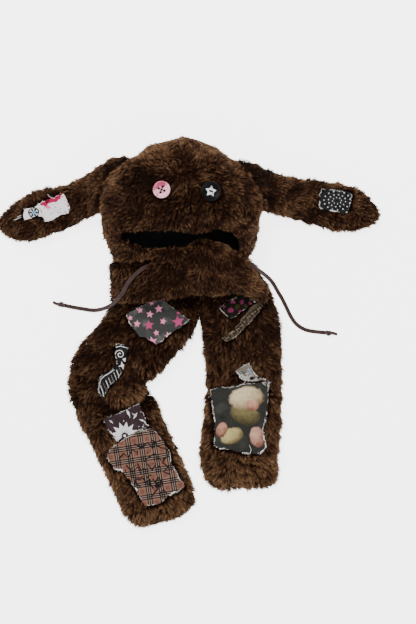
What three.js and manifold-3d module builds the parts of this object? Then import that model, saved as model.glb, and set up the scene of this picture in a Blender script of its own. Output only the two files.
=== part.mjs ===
// Animal hood scarf in deep faux fur, lying on its back with the face up.
// Millimetres. X runs to the right as seen from the front, Y from the tails to the crown, and Z
// rises from the floor that it lies on. Left and right are as seen from the front.
import * as THREE from 'three';
import { mergeVertices } from 'three/addons/utils/BufferGeometryUtils.js';
import Module from 'manifold-3d';

const wasm = await Module();
wasm.setup();

// Driving dimensions

// Hood
const hoodWidth = 269;
const hoodLength = 205;
const hoodDepth = 116;
const hoodWall = 13;
const liningWall = 1.5;

// Ears
const earWidth = 78;
const earThickness = 27;
const earLengthLeft = 235;
const earLengthRight = 245;
const earRootHeight = 52;
const earPleat = 5;

// Neck band
const bandWidth = 262;
const bandDepth = 58;
const bandRise = 70;
const bandWall = 15;

// Scarf tails
const tailWidth = 129;
const tailThickness = 31;
const tailLengthLeft = 455;
const tailLengthRight = 390;

// Locks of the fur
const lockSpacing = 12.5;
const lockDepth = 5;
const lockSweep = 0.35;
const lockEvenness = 0.65;

// Buttons
const pinkButtonDiameter = 29;
const blackButtonDiameter = 33;
const buttonThickness = 5;
const buttonHoleDiameter = 3.6;
const buttonHoleSpread = 4.2;
const starDiameter = 20.5;
const starThickness = 1.4;
const starWaist = 0.5;
const buttonSides = 20;
const buttonHoleSides = 10;

// Drawcord, a flat lace
const laceWidth = 7;
const laceThickness = 2.4;
const knotLength = 14;
const knotWidth = 10;
const knotHeight = 8;
const laceTipLength = 12;
const laceTipOverlap = 2;
const knotSides = 10;
const knotBands = 6;

// Patches
const patchWall = 1.5;

// Gaps between neighbours
const clearance = 0.35;
const patchClearance = 0.6;
const liningClearance = 0.95;

// Shape of a lying fur section: how far its sides tuck under, and how boxy it is
const tuckAngle = THREE.MathUtils.degToRad(35);
const hoodRoundness = 0.85;
const limbRoundness = 0.55;
const soleSteps = 3;

// The smooth inner faces have fewer, longer steps than the fur. A cutting form runs past the neck
// seam by a share of its length, and a cutting prism stands on a share of the hood's depth.
const innerSteps = 0.4;
const innerSpacing = 2.6;
const cutPast = 0.1;
const frontCutFoot = 0.25;
const frontCutTop = 2;

// Where the ears' roots start. Shares: across of hoodWidth, up of hoodLength above the neck seam.
const leftEarRoot = { across: -0.271, up: 0.722 };
const rightEarRoot = { across: 0.334, up: 0.689 };

// Sections of the hood, from the crown to the neck seam. Shares: at of hoodLength,
// side and half of hoodWidth, rise and full of hoodDepth.
const hoodRows = [
  { at: 0.00, side: 0.01, half: 0.02, rise: 0.30, full: 0.14, turn: 0, pleat: 0 },
  { at: 0.02, side: 0.01, half: 0.10, rise: 0.20, full: 0.38, turn: 0, pleat: 0 },
  { at: 0.07, side: 0.01, half: 0.195, rise: 0.09, full: 0.62, turn: 0, pleat: 0 },
  { at: 0.15, side: 0.005, half: 0.278, rise: 0.02, full: 0.81, turn: 0, pleat: 0 },
  { at: 0.21, side: 0.003, half: 0.338, rise: 0.00, full: 0.90, turn: 0, pleat: 0 },
  { at: 0.28, side: 0, half: 0.42, rise: 0.00, full: 0.95, turn: 0, pleat: 0 },
  { at: 0.385, side: 0, half: 0.48, rise: 0.00, full: 0.99, turn: 0, pleat: 0 },
  { at: 0.51, side: 0, half: 0.498, rise: 0.00, full: 1.00, turn: 0, pleat: 0 },
  { at: 0.62, side: 0, half: 0.50, rise: 0.00, full: 1.01, turn: 0, pleat: 0 },
  { at: 0.72, side: 0, half: 0.492, rise: 0.00, full: 0.98, turn: 0, pleat: 0 },
  { at: 0.80, side: 0, half: 0.482, rise: 0.00, full: 0.88, turn: 0, pleat: 0 },
  { at: 0.87, side: 0, half: 0.470, rise: 0.00, full: 0.77, turn: 0, pleat: 0 },
  { at: 0.94, side: 0, half: 0.445, rise: 0.00, full: 0.68, turn: 0, pleat: 0 },
  { at: 1.00, side: 0, half: 0.428, rise: 0.00, full: 0.62, turn: 0, pleat: 0 },
];

// The face slot, as cut down through the front of the hood. Shares of hoodWidth and hoodLength.
const faceSlot = [
  { across: -0.378, up: 0.207 },
  { across: -0.245, up: 0.240 },
  { across: -0.050, up: 0.249 },
  { across: 0.070, up: 0.224 },
  { across: 0.215, up: 0.232 },
  { across: 0.320, up: 0.216 },
  { across: 0.360, up: 0.180 },
  { across: 0.372, up: 0.120 },
  { across: 0.376, up: -0.060 },
  { across: 0.038, up: -0.060 },
  { across: 0.025, up: 0.048 },
  { across: -0.005, up: 0.058 },
  { across: -0.150, up: 0.066 },
  { across: -0.258, up: 0.079 },
  { across: -0.334, up: 0.124 },
  { across: -0.378, up: 0.149 },
];

// The front of the lining that is cut away, in the same shares.
const liningFront = [
  { across: -0.378, up: 0.240 },
  { across: 0.378, up: 0.240 },
  { across: 0.378, up: -0.200 },
  { across: -0.378, up: -0.200 },
];

// Sections of the ears, from the gathered root to the tip. Shares: at of the ear's length, side and
// half of earWidth, rise of earRootHeight, full of earThickness, pleat of earPleat.
const leftEarRows = [
  { at: 0.00, side: 0.00, half: 0.26, rise: 0.90, full: 0.80, turn: 0, pleat: 0 },
  { at: 0.072, side: -0.01, half: 0.35, rise: 0.94, full: 1.05, turn: 0, pleat: 0.5 },
  { at: 0.181, side: -0.17, half: 0.457, rise: 0.62, full: 1.15, turn: 0, pleat: 1.0 },
  { at: 0.304, side: -0.40, half: 0.489, rise: 0.28, full: 1.10, turn: 0, pleat: 0.6 },
  { at: 0.486, side: -0.71, half: 0.478, rise: 0.00, full: 1.05, turn: 0, pleat: 0.15 },
  { at: 0.652, side: -0.86, half: 0.522, rise: 0.00, full: 1.00, turn: 0, pleat: 0 },
  { at: 0.768, side: -0.97, half: 0.496, rise: 0.00, full: 1.00, turn: 0, pleat: 0 },
  { at: 0.899, side: -1.065, half: 0.380, rise: 0.00, full: 0.90, turn: 0, pleat: 0 },
  { at: 0.964, side: -1.10, half: 0.230, rise: 0.00, full: 0.66, turn: 0, pleat: 0 },
  { at: 1.00, side: -1.11, half: 0.080, rise: 0.00, full: 0.36, turn: 0, pleat: 0 },
];
const rightEarRows = [
  { at: 0.00, side: 0.00, half: 0.26, rise: 0.90, full: 0.80, turn: 0, pleat: 0 },
  { at: 0.069, side: -0.087, half: 0.41, rise: 0.94, full: 1.05, turn: 0, pleat: 0.5 },
  { at: 0.153, side: -0.217, half: 0.478, rise: 0.76, full: 1.15, turn: 0, pleat: 1.0 },
  { at: 0.229, side: -0.326, half: 0.455, rise: 0.50, full: 1.15, turn: 0, pleat: 0.8 },
  { at: 0.3125, side: -0.424, half: 0.446, rise: 0.26, full: 1.10, turn: 0, pleat: 0.5 },
  { at: 0.50, side: -0.533, half: 0.467, rise: 0.00, full: 1.05, turn: 0, pleat: 0.1 },
  { at: 0.611, side: -0.602, half: 0.493, rise: 0.00, full: 1.00, turn: 0, pleat: 0 },
  { at: 0.80, side: -0.696, half: 0.478, rise: 0.00, full: 1.00, turn: 0, pleat: 0 },
  { at: 0.917, side: -0.754, half: 0.370, rise: 0.00, full: 0.90, turn: 0, pleat: 0 },
  { at: 0.975, side: -0.79, half: 0.215, rise: 0.00, full: 0.62, turn: 0, pleat: 0 },
  { at: 1.00, side: -0.80, half: 0.080, rise: 0.00, full: 0.36, turn: 0, pleat: 0 },
];

// Sections of the tails, from the neck seam to the end. Shares: at of the tail's length, side and
// half of tailWidth, full of tailThickness. Turn is in degrees, positive with the right side lower.
// The left tail bends at an elbow, where a crease crosses it with a full lobe below.
const leftTailRows = [
  { at: 0.000, side: -0.40, half: 0.52, rise: 0, full: 0.60, turn: 0, pleat: 0 },
  { at: 0.078, side: -0.395, half: 0.54, rise: 0, full: 0.66, turn: 2, pleat: 0 },
  { at: 0.176, side: -0.33, half: 0.60, rise: 0, full: 0.88, turn: 13, pleat: 0 },
  { at: 0.269, side: -0.487, half: 0.56, rise: 0, full: 1.00, turn: 19.5, pleat: 0 },
  { at: 0.321, side: -0.658, half: 0.54, rise: 0, full: 1.02, turn: 24, pleat: 0 },
  { at: 0.374, side: -0.816, half: 0.524, rise: 0, full: 1.00, turn: 25, pleat: 0 },
  { at: 0.411, side: -0.934, half: 0.507, rise: 0, full: 0.96, turn: 20, pleat: 0 },
  { at: 0.454, side: -0.974, half: 0.524, rise: 0, full: 0.84, turn: 8, pleat: 0 },
  { at: 0.493, side: -0.96, half: 0.524, rise: 0, full: 0.74, turn: 0, pleat: 0 },
  { at: 0.534, side: -0.90, half: 0.52, rise: 0, full: 1.10, turn: -7, pleat: 0 },
  { at: 0.598, side: -0.803, half: 0.518, rise: 0, full: 1.06, turn: -14, pleat: 0 },
  { at: 0.699, side: -0.632, half: 0.500, rise: 0, full: 1.00, turn: -18, pleat: 0 },
  { at: 0.811, side: -0.447, half: 0.494, rise: 0, full: 1.00, turn: -20, pleat: 0 },
  { at: 0.893, side: -0.318, half: 0.488, rise: 0, full: 0.96, turn: -19, pleat: 0 },
  { at: 0.942, side: -0.245, half: 0.452, rise: 0, full: 0.84, turn: -18, pleat: 0 },
  { at: 0.970, side: -0.203, half: 0.355, rise: 0, full: 0.55, turn: -18, pleat: 0 },
  { at: 0.979, side: -0.197, half: 0.263, rise: 0, full: 0.30, turn: -16, pleat: 0 },
];
const rightTailRows = [
  { at: 0.000, side: 0.526, half: 0.412, rise: 0, full: 0.60, turn: 0, pleat: 0 },
  { at: 0.100, side: 0.612, half: 0.505, rise: 0, full: 0.68, turn: 0, pleat: 0 },
  { at: 0.183, side: 0.697, half: 0.526, rise: 0, full: 0.88, turn: 0, pleat: 0 },
  { at: 0.270, side: 0.776, half: 0.526, rise: 0, full: 1.00, turn: 0, pleat: 0 },
  { at: 0.396, side: 0.829, half: 0.500, rise: 0, full: 1.02, turn: 0, pleat: 0 },
  { at: 0.553, side: 0.829, half: 0.500, rise: 0, full: 1.00, turn: 0, pleat: 0 },
  { at: 0.675, side: 0.809, half: 0.507, rise: 0, full: 1.00, turn: 0, pleat: 0 },
  { at: 0.788, side: 0.789, half: 0.510, rise: 0, full: 1.00, turn: 0, pleat: 0 },
  { at: 0.889, side: 0.776, half: 0.513, rise: 0, full: 0.97, turn: 0, pleat: 0 },
  { at: 0.945, side: 0.783, half: 0.493, rise: 0, full: 0.86, turn: -1, pleat: 0 },
  { at: 0.982, side: 0.810, half: 0.410, rise: 0, full: 0.58, turn: -2, pleat: 0 },
  { at: 0.998, side: 0.830, half: 0.280, rise: 0, full: 0.30, turn: -2, pleat: 0 },
];

// Edges of the neck band as seen from the front, from its left side to its right. Shares: across of
// half the band's width, top and bottom of bandDepth above the neck seam, swell of bandRise. On the
// right the band folds over itself and stands up into the face slot.
const bandRows = [
  { across: -1.00, top: -0.12, bottom: -1.20, swell: 1.00 },
  { across: -0.80, top: -0.13, bottom: -1.21, swell: 1.00 },
  { across: -0.50, top: -0.21, bottom: -1.18, swell: 1.00 },
  { across: -0.30, top: -0.14, bottom: -1.05, swell: 0.98 },
  { across: -0.13, top: 0.03, bottom: -0.98, swell: 0.97 },
  { across: 0.00, top: 0.22, bottom: -0.96, swell: 1.02 },
  { across: 0.16, top: 0.39, bottom: -0.94, swell: 1.14 },
  { across: 0.32, top: 0.47, bottom: -0.93, swell: 1.20 },
  { across: 0.49, top: 0.47, bottom: -0.91, swell: 1.20 },
  { across: 0.66, top: 0.37, bottom: -0.94, swell: 1.14 },
  { across: 0.80, top: 0.17, bottom: -1.05, swell: 1.08 },
  { across: 0.91, top: -0.03, bottom: -1.15, swell: 1.02 },
  { across: 1.00, top: -0.15, bottom: -1.20, swell: 1.00 },
];

// The band from its upper edge to its lower edge. Shares: half of bandWidth, shift of bandWidth to
// the right, plump of the band's height there.
const bandRings = [
  { down: 0.00, half: 0.450, shift: 0.010, plump: 0.93 },
  { down: 0.15, half: 0.465, shift: 0.018, plump: 1.00 },
  { down: 0.50, half: 0.488, shift: 0.040, plump: 1.02 },
  { down: 0.85, half: 0.502, shift: 0.062, plump: 0.99 },
  { down: 1.00, half: 0.498, shift: 0.070, plump: 0.93 },
];
const bandFoot = 0.15;
const bandRoundness = 0.75;
const bandSteps = 24;
const bandRingSteps = 2;

// Patches: how wide and tall, as shares of the width of the ear or tail that carries it, where the
// middle lies (at and side, as in the rows of that ear or tail) and the corners as shares of the
// patch's width and height.
const patches = {
  patch_splash: {
    on: 'ear_left', wide: 1.026, tall: 0.615, at: 0.663, side: -0.783, colour: 0xe6dcdc,
    corners: [
      [0.28, 0.5], [0.36, 0.5], [0.5, 0.04], [0.46, -0.18], [0.29, -0.25], [0.12, -0.43], [-0.03, -0.5],
      [-0.06, -0.32], [-0.18, -0.29], [-0.48, -0.43], [-0.5, -0.25], [-0.46, -0.04], [-0.24, 0.04],
      [-0.14, 0.18], [0.18, 0.39],
    ],
  },
  patch_rings: {
    on: 'ear_right', wide: 0.731, tall: 0.526, at: 0.708, side: -0.543, colour: 0x1b1b1d,
    corners: [
      [-0.42, 0.5], [0.36, 0.38], [0.49, 0.29], [0.45, 0.04], [0.42, -0.21], [0.33, -0.5], [0.06, -0.46],
      [-0.33, -0.38], [-0.5, -0.29], [-0.48, 0.25],
    ],
  },
  patch_stars: {
    on: 'tail_left', wide: 0.829, tall: 0.62, at: 0.23, side: -0.31, colour: 0x5c5a5c,
    corners: [
      [-0.5, 0.14], [-0.13, 0.39], [0.09, 0.5], [0.17, 0.35], [0.5, 0.03], [0.37, -0.14], [0.2, -0.27],
      [0.07, -0.44], [-0.02, -0.5], [-0.19, -0.35], [-0.29, -0.33], [-0.44, -0.06],
    ],
  },
  patch_curl: {
    on: 'tail_left', wide: 0.403, tall: 0.729, at: 0.417, side: -0.897, colour: 0x8c8a88,
    corners: [
      [0.1, 0.5], [0.5, 0.44], [0.43, 0.24], [0.34, 0.03], [0.14, -0.15], [-0.12, -0.26], [-0.34, -0.5],
      [-0.5, -0.35], [-0.45, -0.15], [-0.34, -0.06], [-0.12, -0.03], [0.14, 0.12], [0.07, 0.3],
    ],
  },
  patch_plum: {
    on: 'tail_left', wide: 0.636, tall: 0.512, at: 0.611, side: -0.71, colour: 0x3a2a2c,
    corners: [
      [-0.5, 0.09], [-0.1, 0.29], [0.1, 0.4], [0.23, 0.5], [0.35, 0.22], [0.4, -0.04], [0.5, -0.09],
      [0.23, -0.19], [-0.02, -0.37], [-0.21, -0.5], [-0.29, -0.32], [-0.38, -0.19],
    ],
  },
  patch_plaid: {
    on: 'tail_left', wide: 1.031, tall: 1.031, at: 0.777, side: -0.46, colour: 0xa57362,
    corners: [
      [-0.39, 0.29], [-0.13, 0.45], [0.07, 0.5], [0.14, 0.43], [0.23, 0.31], [0.3, 0.2], [0.32, 0.05],
      [0.38, -0.04], [0.42, -0.14], [0.5, -0.23], [0.42, -0.31], [0.31, -0.35], [0.19, -0.45],
      [0.08, -0.49], [-0.02, -0.5], [-0.08, -0.38], [-0.2, -0.17], [-0.32, -0.04], [-0.4, -0.03],
      [-0.45, 0.05], [-0.5, 0.13], [-0.45, 0.24],
    ],
  },
  patch_spots: {
    on: 'tail_right', wide: 0.481, tall: 0.318, at: 0.207, side: 0.74, colour: 0x2c2a22,
    corners: [
      [-0.5, -0.06], [-0.25, 0.23], [0.16, 0.5], [0.5, 0.19], [0.1, -0.21], [-0.03, -0.4], [-0.17, -0.5],
      [-0.31, -0.35],
    ],
  },
  patch_strip: {
    on: 'tail_right', wide: 0.55, tall: 0.527, at: 0.274, side: 0.816, colour: 0x8f8779,
    corners: [
      [0.5, 0.4], [0.38, 0.5], [0.2, 0.38], [-0.07, 0.02], [-0.24, -0.22], [-0.5, -0.4], [-0.39, -0.5],
      [-0.17, -0.37], [0.12, -0.07], [0.42, 0.3],
    ],
  },
  patch_scrap: {
    on: 'tail_right', wide: 0.403, tall: 0.24, at: 0.492, side: 0.918, colour: 0xcfcac4,
    corners: [
      [-0.5, 0.11], [-0.06, 0.5], [0.05, 0.22], [0.17, -0.17], [0.5, -0.42], [0.04, -0.5], [-0.32, -0.39],
    ],
  },
  patch_picture: {
    on: 'tail_right', wide: 0.767, tall: 0.946, at: 0.6925, side: 0.77, colour: 0x55504a,
    corners: [
      [-0.5, 0.39], [-0.34, 0.43], [-0.18, 0.43], [0.01, 0.47], [0.5, 0.5], [0.49, 0.21], [0.47, 0.05],
      [0.4, -0.17], [0.47, -0.4], [0.37, -0.49], [0.28, -0.5], [0.09, -0.49], [-0.23, -0.43],
      [-0.34, -0.43], [-0.44, -0.37], [-0.42, -0.18], [-0.44, 0.05], [-0.49, 0.3],
    ],
  },
};

// Where the button eyes sit. Shares: across of hoodWidth, up of hoodLength above the neck seam.
const pinkButtonPlace = { across: -0.113, up: 0.545 };
const blackButtonPlace = { across: 0.186, up: 0.531 };

// The turned profile of a button, from the middle of its back to the middle of its dished face.
// Shares: out of its radius, up of buttonThickness.
const buttonDish = 0.6;
const buttonProfile = [
  { out: 0, up: 0 },
  { out: 0.8, up: 0 },
  { out: 1, up: 0.35 },
  { out: 1, up: 0.75 },
  { out: 0.9, up: 1 },
  { out: 0.78, up: 1 },
  { out: 0.66, up: buttonDish },
  { out: 0, up: buttonDish },
];

// The free ends of the drawcord, from the channel between hood and band to the knots.
const leftLaceRoute = [
  [-54.4, -12.5, 64.4], [-60.5, -15.2, 65], [-66.3, -18.8, 64.9], [-78.2, -28.9, 63.2],
  [-88.4, -40.8, 58.8], [-96.2, -54.4, 53.4], [-104.4, -65.6, 45.4], [-113.9, -74.8, 34],
  [-125.3, -81.5, 21], [-136.7, -85.4, 11], [-146.5, -87, 5.6], [-156, -86.8, 3.2], [-167.3, -85, 2.2],
  [-181, -82.8, 1.9], [-192.1, -80.6, 1.8], [-201.5, -78.4, 1.8],
];
const rightLaceRoute = [
  [118, -9.5, 40.3], [123.5, -13, 39], [130.5, -18.5, 35], [137.5, -23, 28.5], [145, -28.5, 19.5],
  [152.5, -35, 11], [159.3, -44, 5.6], [165.5, -54.6, 3], [173, -67.2, 2], [180.2, -81.6, 1.7],
  [187, -95.9, 1.7], [194.5, -107.4, 1.7], [203, -115.2, 1.7], [213.7, -120.7, 1.7],
  [225.6, -123.3, 1.7], [237.5, -124.7, 1.7], [248.2, -125.8, 1.7],
];
const laceSteps = 18;
const laceSides = 8;

// Materials

/** A finish with its colour, roughness and metalness. */
function finish(color, roughness, metalness = 0) {
  return new THREE.MeshStandardMaterial({ color, roughness, metalness });
}
const fur = { color: 0x452a1a, roughness: 0.95 };
const liningFinish = finish(0x08080a, 0.8);
const pinkPlastic = finish(0xe6a6b4, 0.3);
const blackPlastic = finish(0x141416, 0.25);
const pearl = finish(0xe8e6e8, 0.25);
const laceFinish = finish(0x5f4844, 0.8);

// Solids

/** The closed solid of a geometry. */
function solidOf(geometry) {
  const bare = geometry.clone();
  bare.deleteAttribute('normal');
  bare.deleteAttribute('uv');
  const merged = mergeVertices(bare, 1e-4);
  const vertProperties = new Float32Array(merged.attributes.position.array);
  const triVerts = new Uint32Array(merged.index.array);
  return new wasm.Manifold(new wasm.Mesh({ numProp: 3, vertProperties, triVerts }));
}

/** The geometry of a solid. */
function geometryOf(solid) {
  const mesh = solid.getMesh();
  const geometry = new THREE.BufferGeometry();
  geometry.setAttribute('position', new THREE.BufferAttribute(mesh.vertProperties, 3));
  geometry.setIndex(new THREE.BufferAttribute(mesh.triVerts, 1));
  geometry.computeVertexNormals();
  return geometry;
}

/** A geometry from points and the triangles between them. */
function geometryFrom(points, triangles) {
  const geometry = new THREE.BufferGeometry().setFromPoints(points);
  geometry.setIndex(triangles);
  return geometry;
}

/** A named piece. */
function piece(name, geometry, material) {
  const mesh = new THREE.Mesh(geometry, material);
  mesh.name = name;
  return mesh;
}

// Smooth values between the rows of a table

/** The value of one column at a fractional row, on a smooth curve through the rows. */
function between(rows, column, place) {
  const last = rows.length - 1;
  const row = Math.min(Math.floor(place), last - 1);
  const t = place - row;
  const a = rows[Math.max(row - 1, 0)][column];
  const b = rows[row][column];
  const c = rows[row + 1][column];
  const d = rows[Math.min(row + 2, last)][column];
  return b + 0.5 * t * (c - a + t * (2 * a - 5 * b + 4 * c - d + t * (3 * (b - c) + d - a)));
}

/** The fractional row at which a rising column reaches a value. */
function rowAt(rows, column, value) {
  const next = rows.findIndex((row) => row[column] >= value);
  if (next <= 0) return next < 0 ? rows.length - 1 : 0;
  const low = rows[next - 1][column];
  return next - 1 + (value - low) / (rows[next][column] - low);
}

/** A repeatable scatter value from 0 to 1 for a lock of fur. */
function scatter(i, j) {
  const wave = Math.sin(i * 12.9898 + j * 78.233) * 43758.5453;
  return wave - Math.floor(wave);
}

/** The depth of the dent between two locks. */
function lockDent(lock, i, j) {
  return lock * THREE.MathUtils.lerp(lockEvenness, 1, scatter(i, j));
}

/** Angles that split a rounded section into steps of one length along its outline. */
function evenAngles(half, tall, roundness, first, last, steps) {
  const shaped = (share) => Math.sign(share) * Math.abs(share) ** roundness;
  const fine = 40 * steps;
  const lengths = [0];
  const pointAt = (angle) => {
    return new THREE.Vector2(half * shaped(Math.cos(angle)), tall * shaped(Math.sin(angle)));
  };
  const angleAt = (k) => THREE.MathUtils.lerp(first, last, k / fine);
  for (let k = 1; k <= fine; k++) {
    lengths.push(lengths[k - 1] + pointAt(angleAt(k)).distanceTo(pointAt(angleAt(k - 1))));
  }
  const angles = [first];
  for (let step = 1; step < steps; step++) {
    const wanted = lengths[fine] * step / steps;
    const k = lengths.findIndex((length) => length >= wanted);
    angles.push(angleAt(k - (lengths[k] - wanted) / (lengths[k] - lengths[k - 1])));
  }
  return [...angles, last];
}

// Fur forms: rings of points along a run, flat on the floor and full above

/** The rings of a fur form. Growing it moves its whole surface out, and a lock depth dents it. */
function furRings(form, { grow = 0, lock = 0, skip = 0, beyond = 0 } = {}) {
  const rows = form.rows.slice(skip);
  if (beyond > 0) rows.push({ ...rows[rows.length - 1], at: 1 + beyond });
  const stations = [];
  for (let row = 0; row < rows.length - 1; row++) {
    const run = Math.hypot(
      (rows[row + 1].at - rows[row].at) * form.length,
      (rows[row + 1].side - rows[row].side) * form.width,
    );
    const count = Math.max(1, Math.round(run / form.spacing));
    for (let step = 0; step < count; step++) stations.push(row + step / count);
  }
  stations.push(rows.length - 1);
  const smooth = stations.map((station) => ringAt(form, rows, station, grow));
  return smooth.map((ring, j) => ring.points.map((point, i) => {
    const edge = Math.min(i, form.arcSteps - i);
    if (lock === 0 || edge <= 0) return point;
    if ((i + j) % 2 === 1) {
      const dent = lockDent(lock, i, j);
      return point.clone().addScaledVector(ring.inward[i], dent);
    }
    const next = smooth[j + 1];
    return next && j > 0 ? point.clone().lerp(next.points[i], lockSweep) : point;
  }));
}

/** One ring of a fur form: its points, and the way in from each. */
function ringAt(form, rows, station, grow) {
  const value = (column) => between(rows, column, station);
  const at = value('at');
  const turn = THREE.MathUtils.degToRad(value('turn'));
  const half = value('half') * form.width + grow;
  const low = Math.max(0, value('rise')) * form.riseHeight - grow;
  const tall = value('full') * form.height + 2 * grow;
  const reach = at * form.length - grow * (1 - at);
  const centre = form.start.clone();
  centre.addScaledVector(form.along, reach);
  centre.addScaledVector(form.across, value('side') * form.width);
  const out = form.across.clone().multiplyScalar(Math.cos(turn));
  out.addScaledVector(form.along, Math.sin(turn));
  const pleat = value('pleat') * earPleat;
  const points = [];
  const inward = [];
  const place = (x, z) => centre.clone().addScaledVector(out, x).setZ(z);
  const shaped = (share) => Math.sign(share) * Math.abs(share) ** form.roundness;
  const foot = shaped(Math.sin(tuckAngle));
  for (const angle of form.angles) {
    const up = (shaped(Math.sin(angle)) + foot) / (1 + foot);
    const fold = pleat * Math.cos(4 * Math.PI * Math.cos(angle)) * Math.max(0, Math.sin(angle));
    points.push(place(half * shaped(Math.cos(angle)), low + tall * up + fold));
    const way = out.clone().multiplyScalar(-Math.cos(angle));
    inward.push(way.setZ(-Math.sin(angle)));
  }
  const sole = half * shaped(Math.cos(tuckAngle));
  for (let i = 1; i <= soleSteps; i++) {
    points.push(place(THREE.MathUtils.lerp(sole, -sole, i / (soleSteps + 1)), low));
    inward.push(new THREE.Vector3());
  }
  return { points, inward };
}

/** The closed skin over a row of rings. Each pair of triangles folds between the locks. */
function skinOver(rings, flip) {
  const size = rings[0].length;
  const points = rings.flat();
  const triangles = [];
  const add = (a, b, c) => triangles.push(...(flip ? [a, c, b] : [a, b, c]));
  for (let j = 0; j < rings.length - 1; j++) {
    for (let i = 0; i < size; i++) {
      const a = j * size + i;
      const b = j * size + (i + 1) % size;
      const c = b + size;
      const d = a + size;
      if ((i + j) % 2 === 0) {
        add(a, b, d);
        add(b, c, d);
      } else {
        add(a, b, c);
        add(a, c, d);
      }
    }
  }
  for (const [ring, first, turned] of [[rings[0], 0, true], [rings.at(-1), points.length - size, false]]) {
    const middle = ring.reduce((sum, point) => sum.add(point), new THREE.Vector3());
    const centre = points.push(middle.divideScalar(size)) - 1;
    for (let i = 0; i < size; i++) {
      const a = first + i;
      const b = first + (i + 1) % size;
      if (turned) add(b, a, centre);
      else add(a, b, centre);
    }
  }
  return geometryFrom(points, triangles);
}

/** The geometry of a fur form. */
function furGeometry(form, options) {
  const handed = new THREE.Vector3().crossVectors(form.across, form.along).z;
  return skinOver(furRings(form, options), handed < 0);
}

/** The solid of a fur form. */
function furSolid(form, options) {
  return solidOf(furGeometry(form, options));
}

/** A fur form as named places and sizes, running along one way with its width across. */
function furForm(rows, start, along, length, width, height, riseHeight, roundness, arcSteps) {
  const across = Math.abs(along.x) > 0.5 ? new THREE.Vector3(0, 1, 0) : new THREE.Vector3(1, 0, 0);
  const angles = sectionAngles(width, height, roundness, arcSteps);
  const sizes = { length, width, height, riseHeight, roundness };
  return { rows, start, along, across, ...sizes, arcSteps, spacing: lockSpacing, angles };
}

/** The angles of a lying fur section, from its left foot over the top to its right foot. */
function sectionAngles(width, height, roundness, steps) {
  return evenAngles(width / 2, height / 2, roundness, Math.PI + tuckAngle, -tuckAngle, steps);
}

/** A place on the floor under the hood, from its shares across and up. */
function placeOnHood({ across, up }) {
  return new THREE.Vector3(across * hoodWidth, up * hoodLength, 0);
}

const crown = placeOnHood({ across: 0, up: 1 });
const down = new THREE.Vector3(0, -1, 0);
const left = new THREE.Vector3(-1, 0, 0);
const right = new THREE.Vector3(1, 0, 0);
const hoodArc = Math.PI * (hoodWidth / 2 + hoodDepth) / 2;
const tailArc = tailWidth + tailThickness;
const earArc = earWidth + earThickness;
const evenSteps = (arc) => 2 * Math.round(arc / lockSpacing / 2);

const hoodForm = furForm(
  hoodRows, crown, down, hoodLength, hoodWidth, hoodDepth, hoodDepth, hoodRoundness, evenSteps(hoodArc),
);
const leftEarForm = furForm(
  leftEarRows, placeOnHood(leftEarRoot), left,
  earLengthLeft, earWidth, earThickness, earRootHeight, limbRoundness, evenSteps(earArc),
);
const rightEarForm = furForm(
  rightEarRows, placeOnHood(rightEarRoot), right,
  earLengthRight, earWidth, earThickness, earRootHeight, limbRoundness, evenSteps(earArc),
);
const tailStart = new THREE.Vector3(0, -clearance, 0);
const leftTailForm = furForm(
  leftTailRows, tailStart, down, tailLengthLeft, tailWidth, tailThickness, 0, limbRoundness,
  evenSteps(tailArc),
);
const rightTailForm = furForm(
  rightTailRows, tailStart, down, tailLengthRight, tailWidth, tailThickness, 0, limbRoundness,
  evenSteps(tailArc),
);

// Neck band: a thick sheet that arches from one side of the collar to the other

const bandAngles = evenAngles(bandWidth / 2, bandRise, bandRoundness, Math.PI, 0, bandSteps);

/** A point of the band's outer face, or of a face that is set in by a depth. */
function bandPoint(angle, row, depth) {
  const shaped = (share) => Math.sign(share) * Math.abs(share) ** bandRoundness;
  const across = shaped(Math.cos(angle));
  const edge = rowAt(bandRows, 'across', across);
  const drop = between(bandRings, 'down', row);
  const half = between(bandRings, 'half', row) * bandWidth - depth;
  const swell = between(bandRows, 'swell', edge) * between(bandRings, 'plump', row);
  const foot = bandFoot * bandRise;
  const top = between(bandRows, 'top', edge) * bandDepth;
  const bottom = between(bandRows, 'bottom', edge) * bandDepth;
  return new THREE.Vector3(
    between(bandRings, 'shift', row) * bandWidth + half * across,
    THREE.MathUtils.lerp(top, bottom, drop),
    foot + (swell * bandRise - depth - foot) * shaped(Math.sin(angle)),
  );
}

/** The rings of the band, each once round: over the outer face and back under the inner one. */
function bandRingPoints(grow, lock) {
  const rings = [];
  const count = (bandRings.length - 1) * bandRingSteps;
  for (let j = 0; j <= count; j++) {
    const row = j / bandRingSteps;
    const spread = 1 + 2 * grow / bandDepth;
    const settle = (point) => point.setY((point.y + bandDepth / 2) * spread - bandDepth / 2);
    const ring = [];
    for (let i = 0; i <= bandSteps; i++) {
      const dented = (i + j) % 2 === 1 && i > 0 && i < bandSteps;
      const dent = dented ? lockDent(lock, i, j) : 0;
      ring.push(settle(bandPoint(bandAngles[i], row, dent - grow)));
    }
    for (let i = bandSteps; i >= 0; i -= 2) {
      ring.push(settle(bandPoint(bandAngles[i], row, bandWall + grow)));
    }
    rings.push(ring);
  }
  return rings;
}

/** The band's solid, grown all round and with its locks dented in. */
function bandSolid(grow, lock) {
  const rings = bandRingPoints(grow, lock);
  const size = rings[0].length;
  const points = rings.flat();
  const triangles = [];
  const quad = (a, b, c, d, tilted) => {
    if (tilted) triangles.push(a, d, b, b, d, c);
    else triangles.push(a, c, b, a, d, c);
  };
  for (let j = 0; j < rings.length - 1; j++) {
    for (let i = 0; i < size; i++) {
      const a = j * size + i;
      const b = j * size + (i + 1) % size;
      quad(a, b, b + size, a + size, (i + j) % 2 === 0);
    }
  }
  closeBandEnd(triangles, 0, false);
  closeBandEnd(triangles, points.length - size, true);
  return solidOf(geometryFrom(points, triangles));
}

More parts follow.
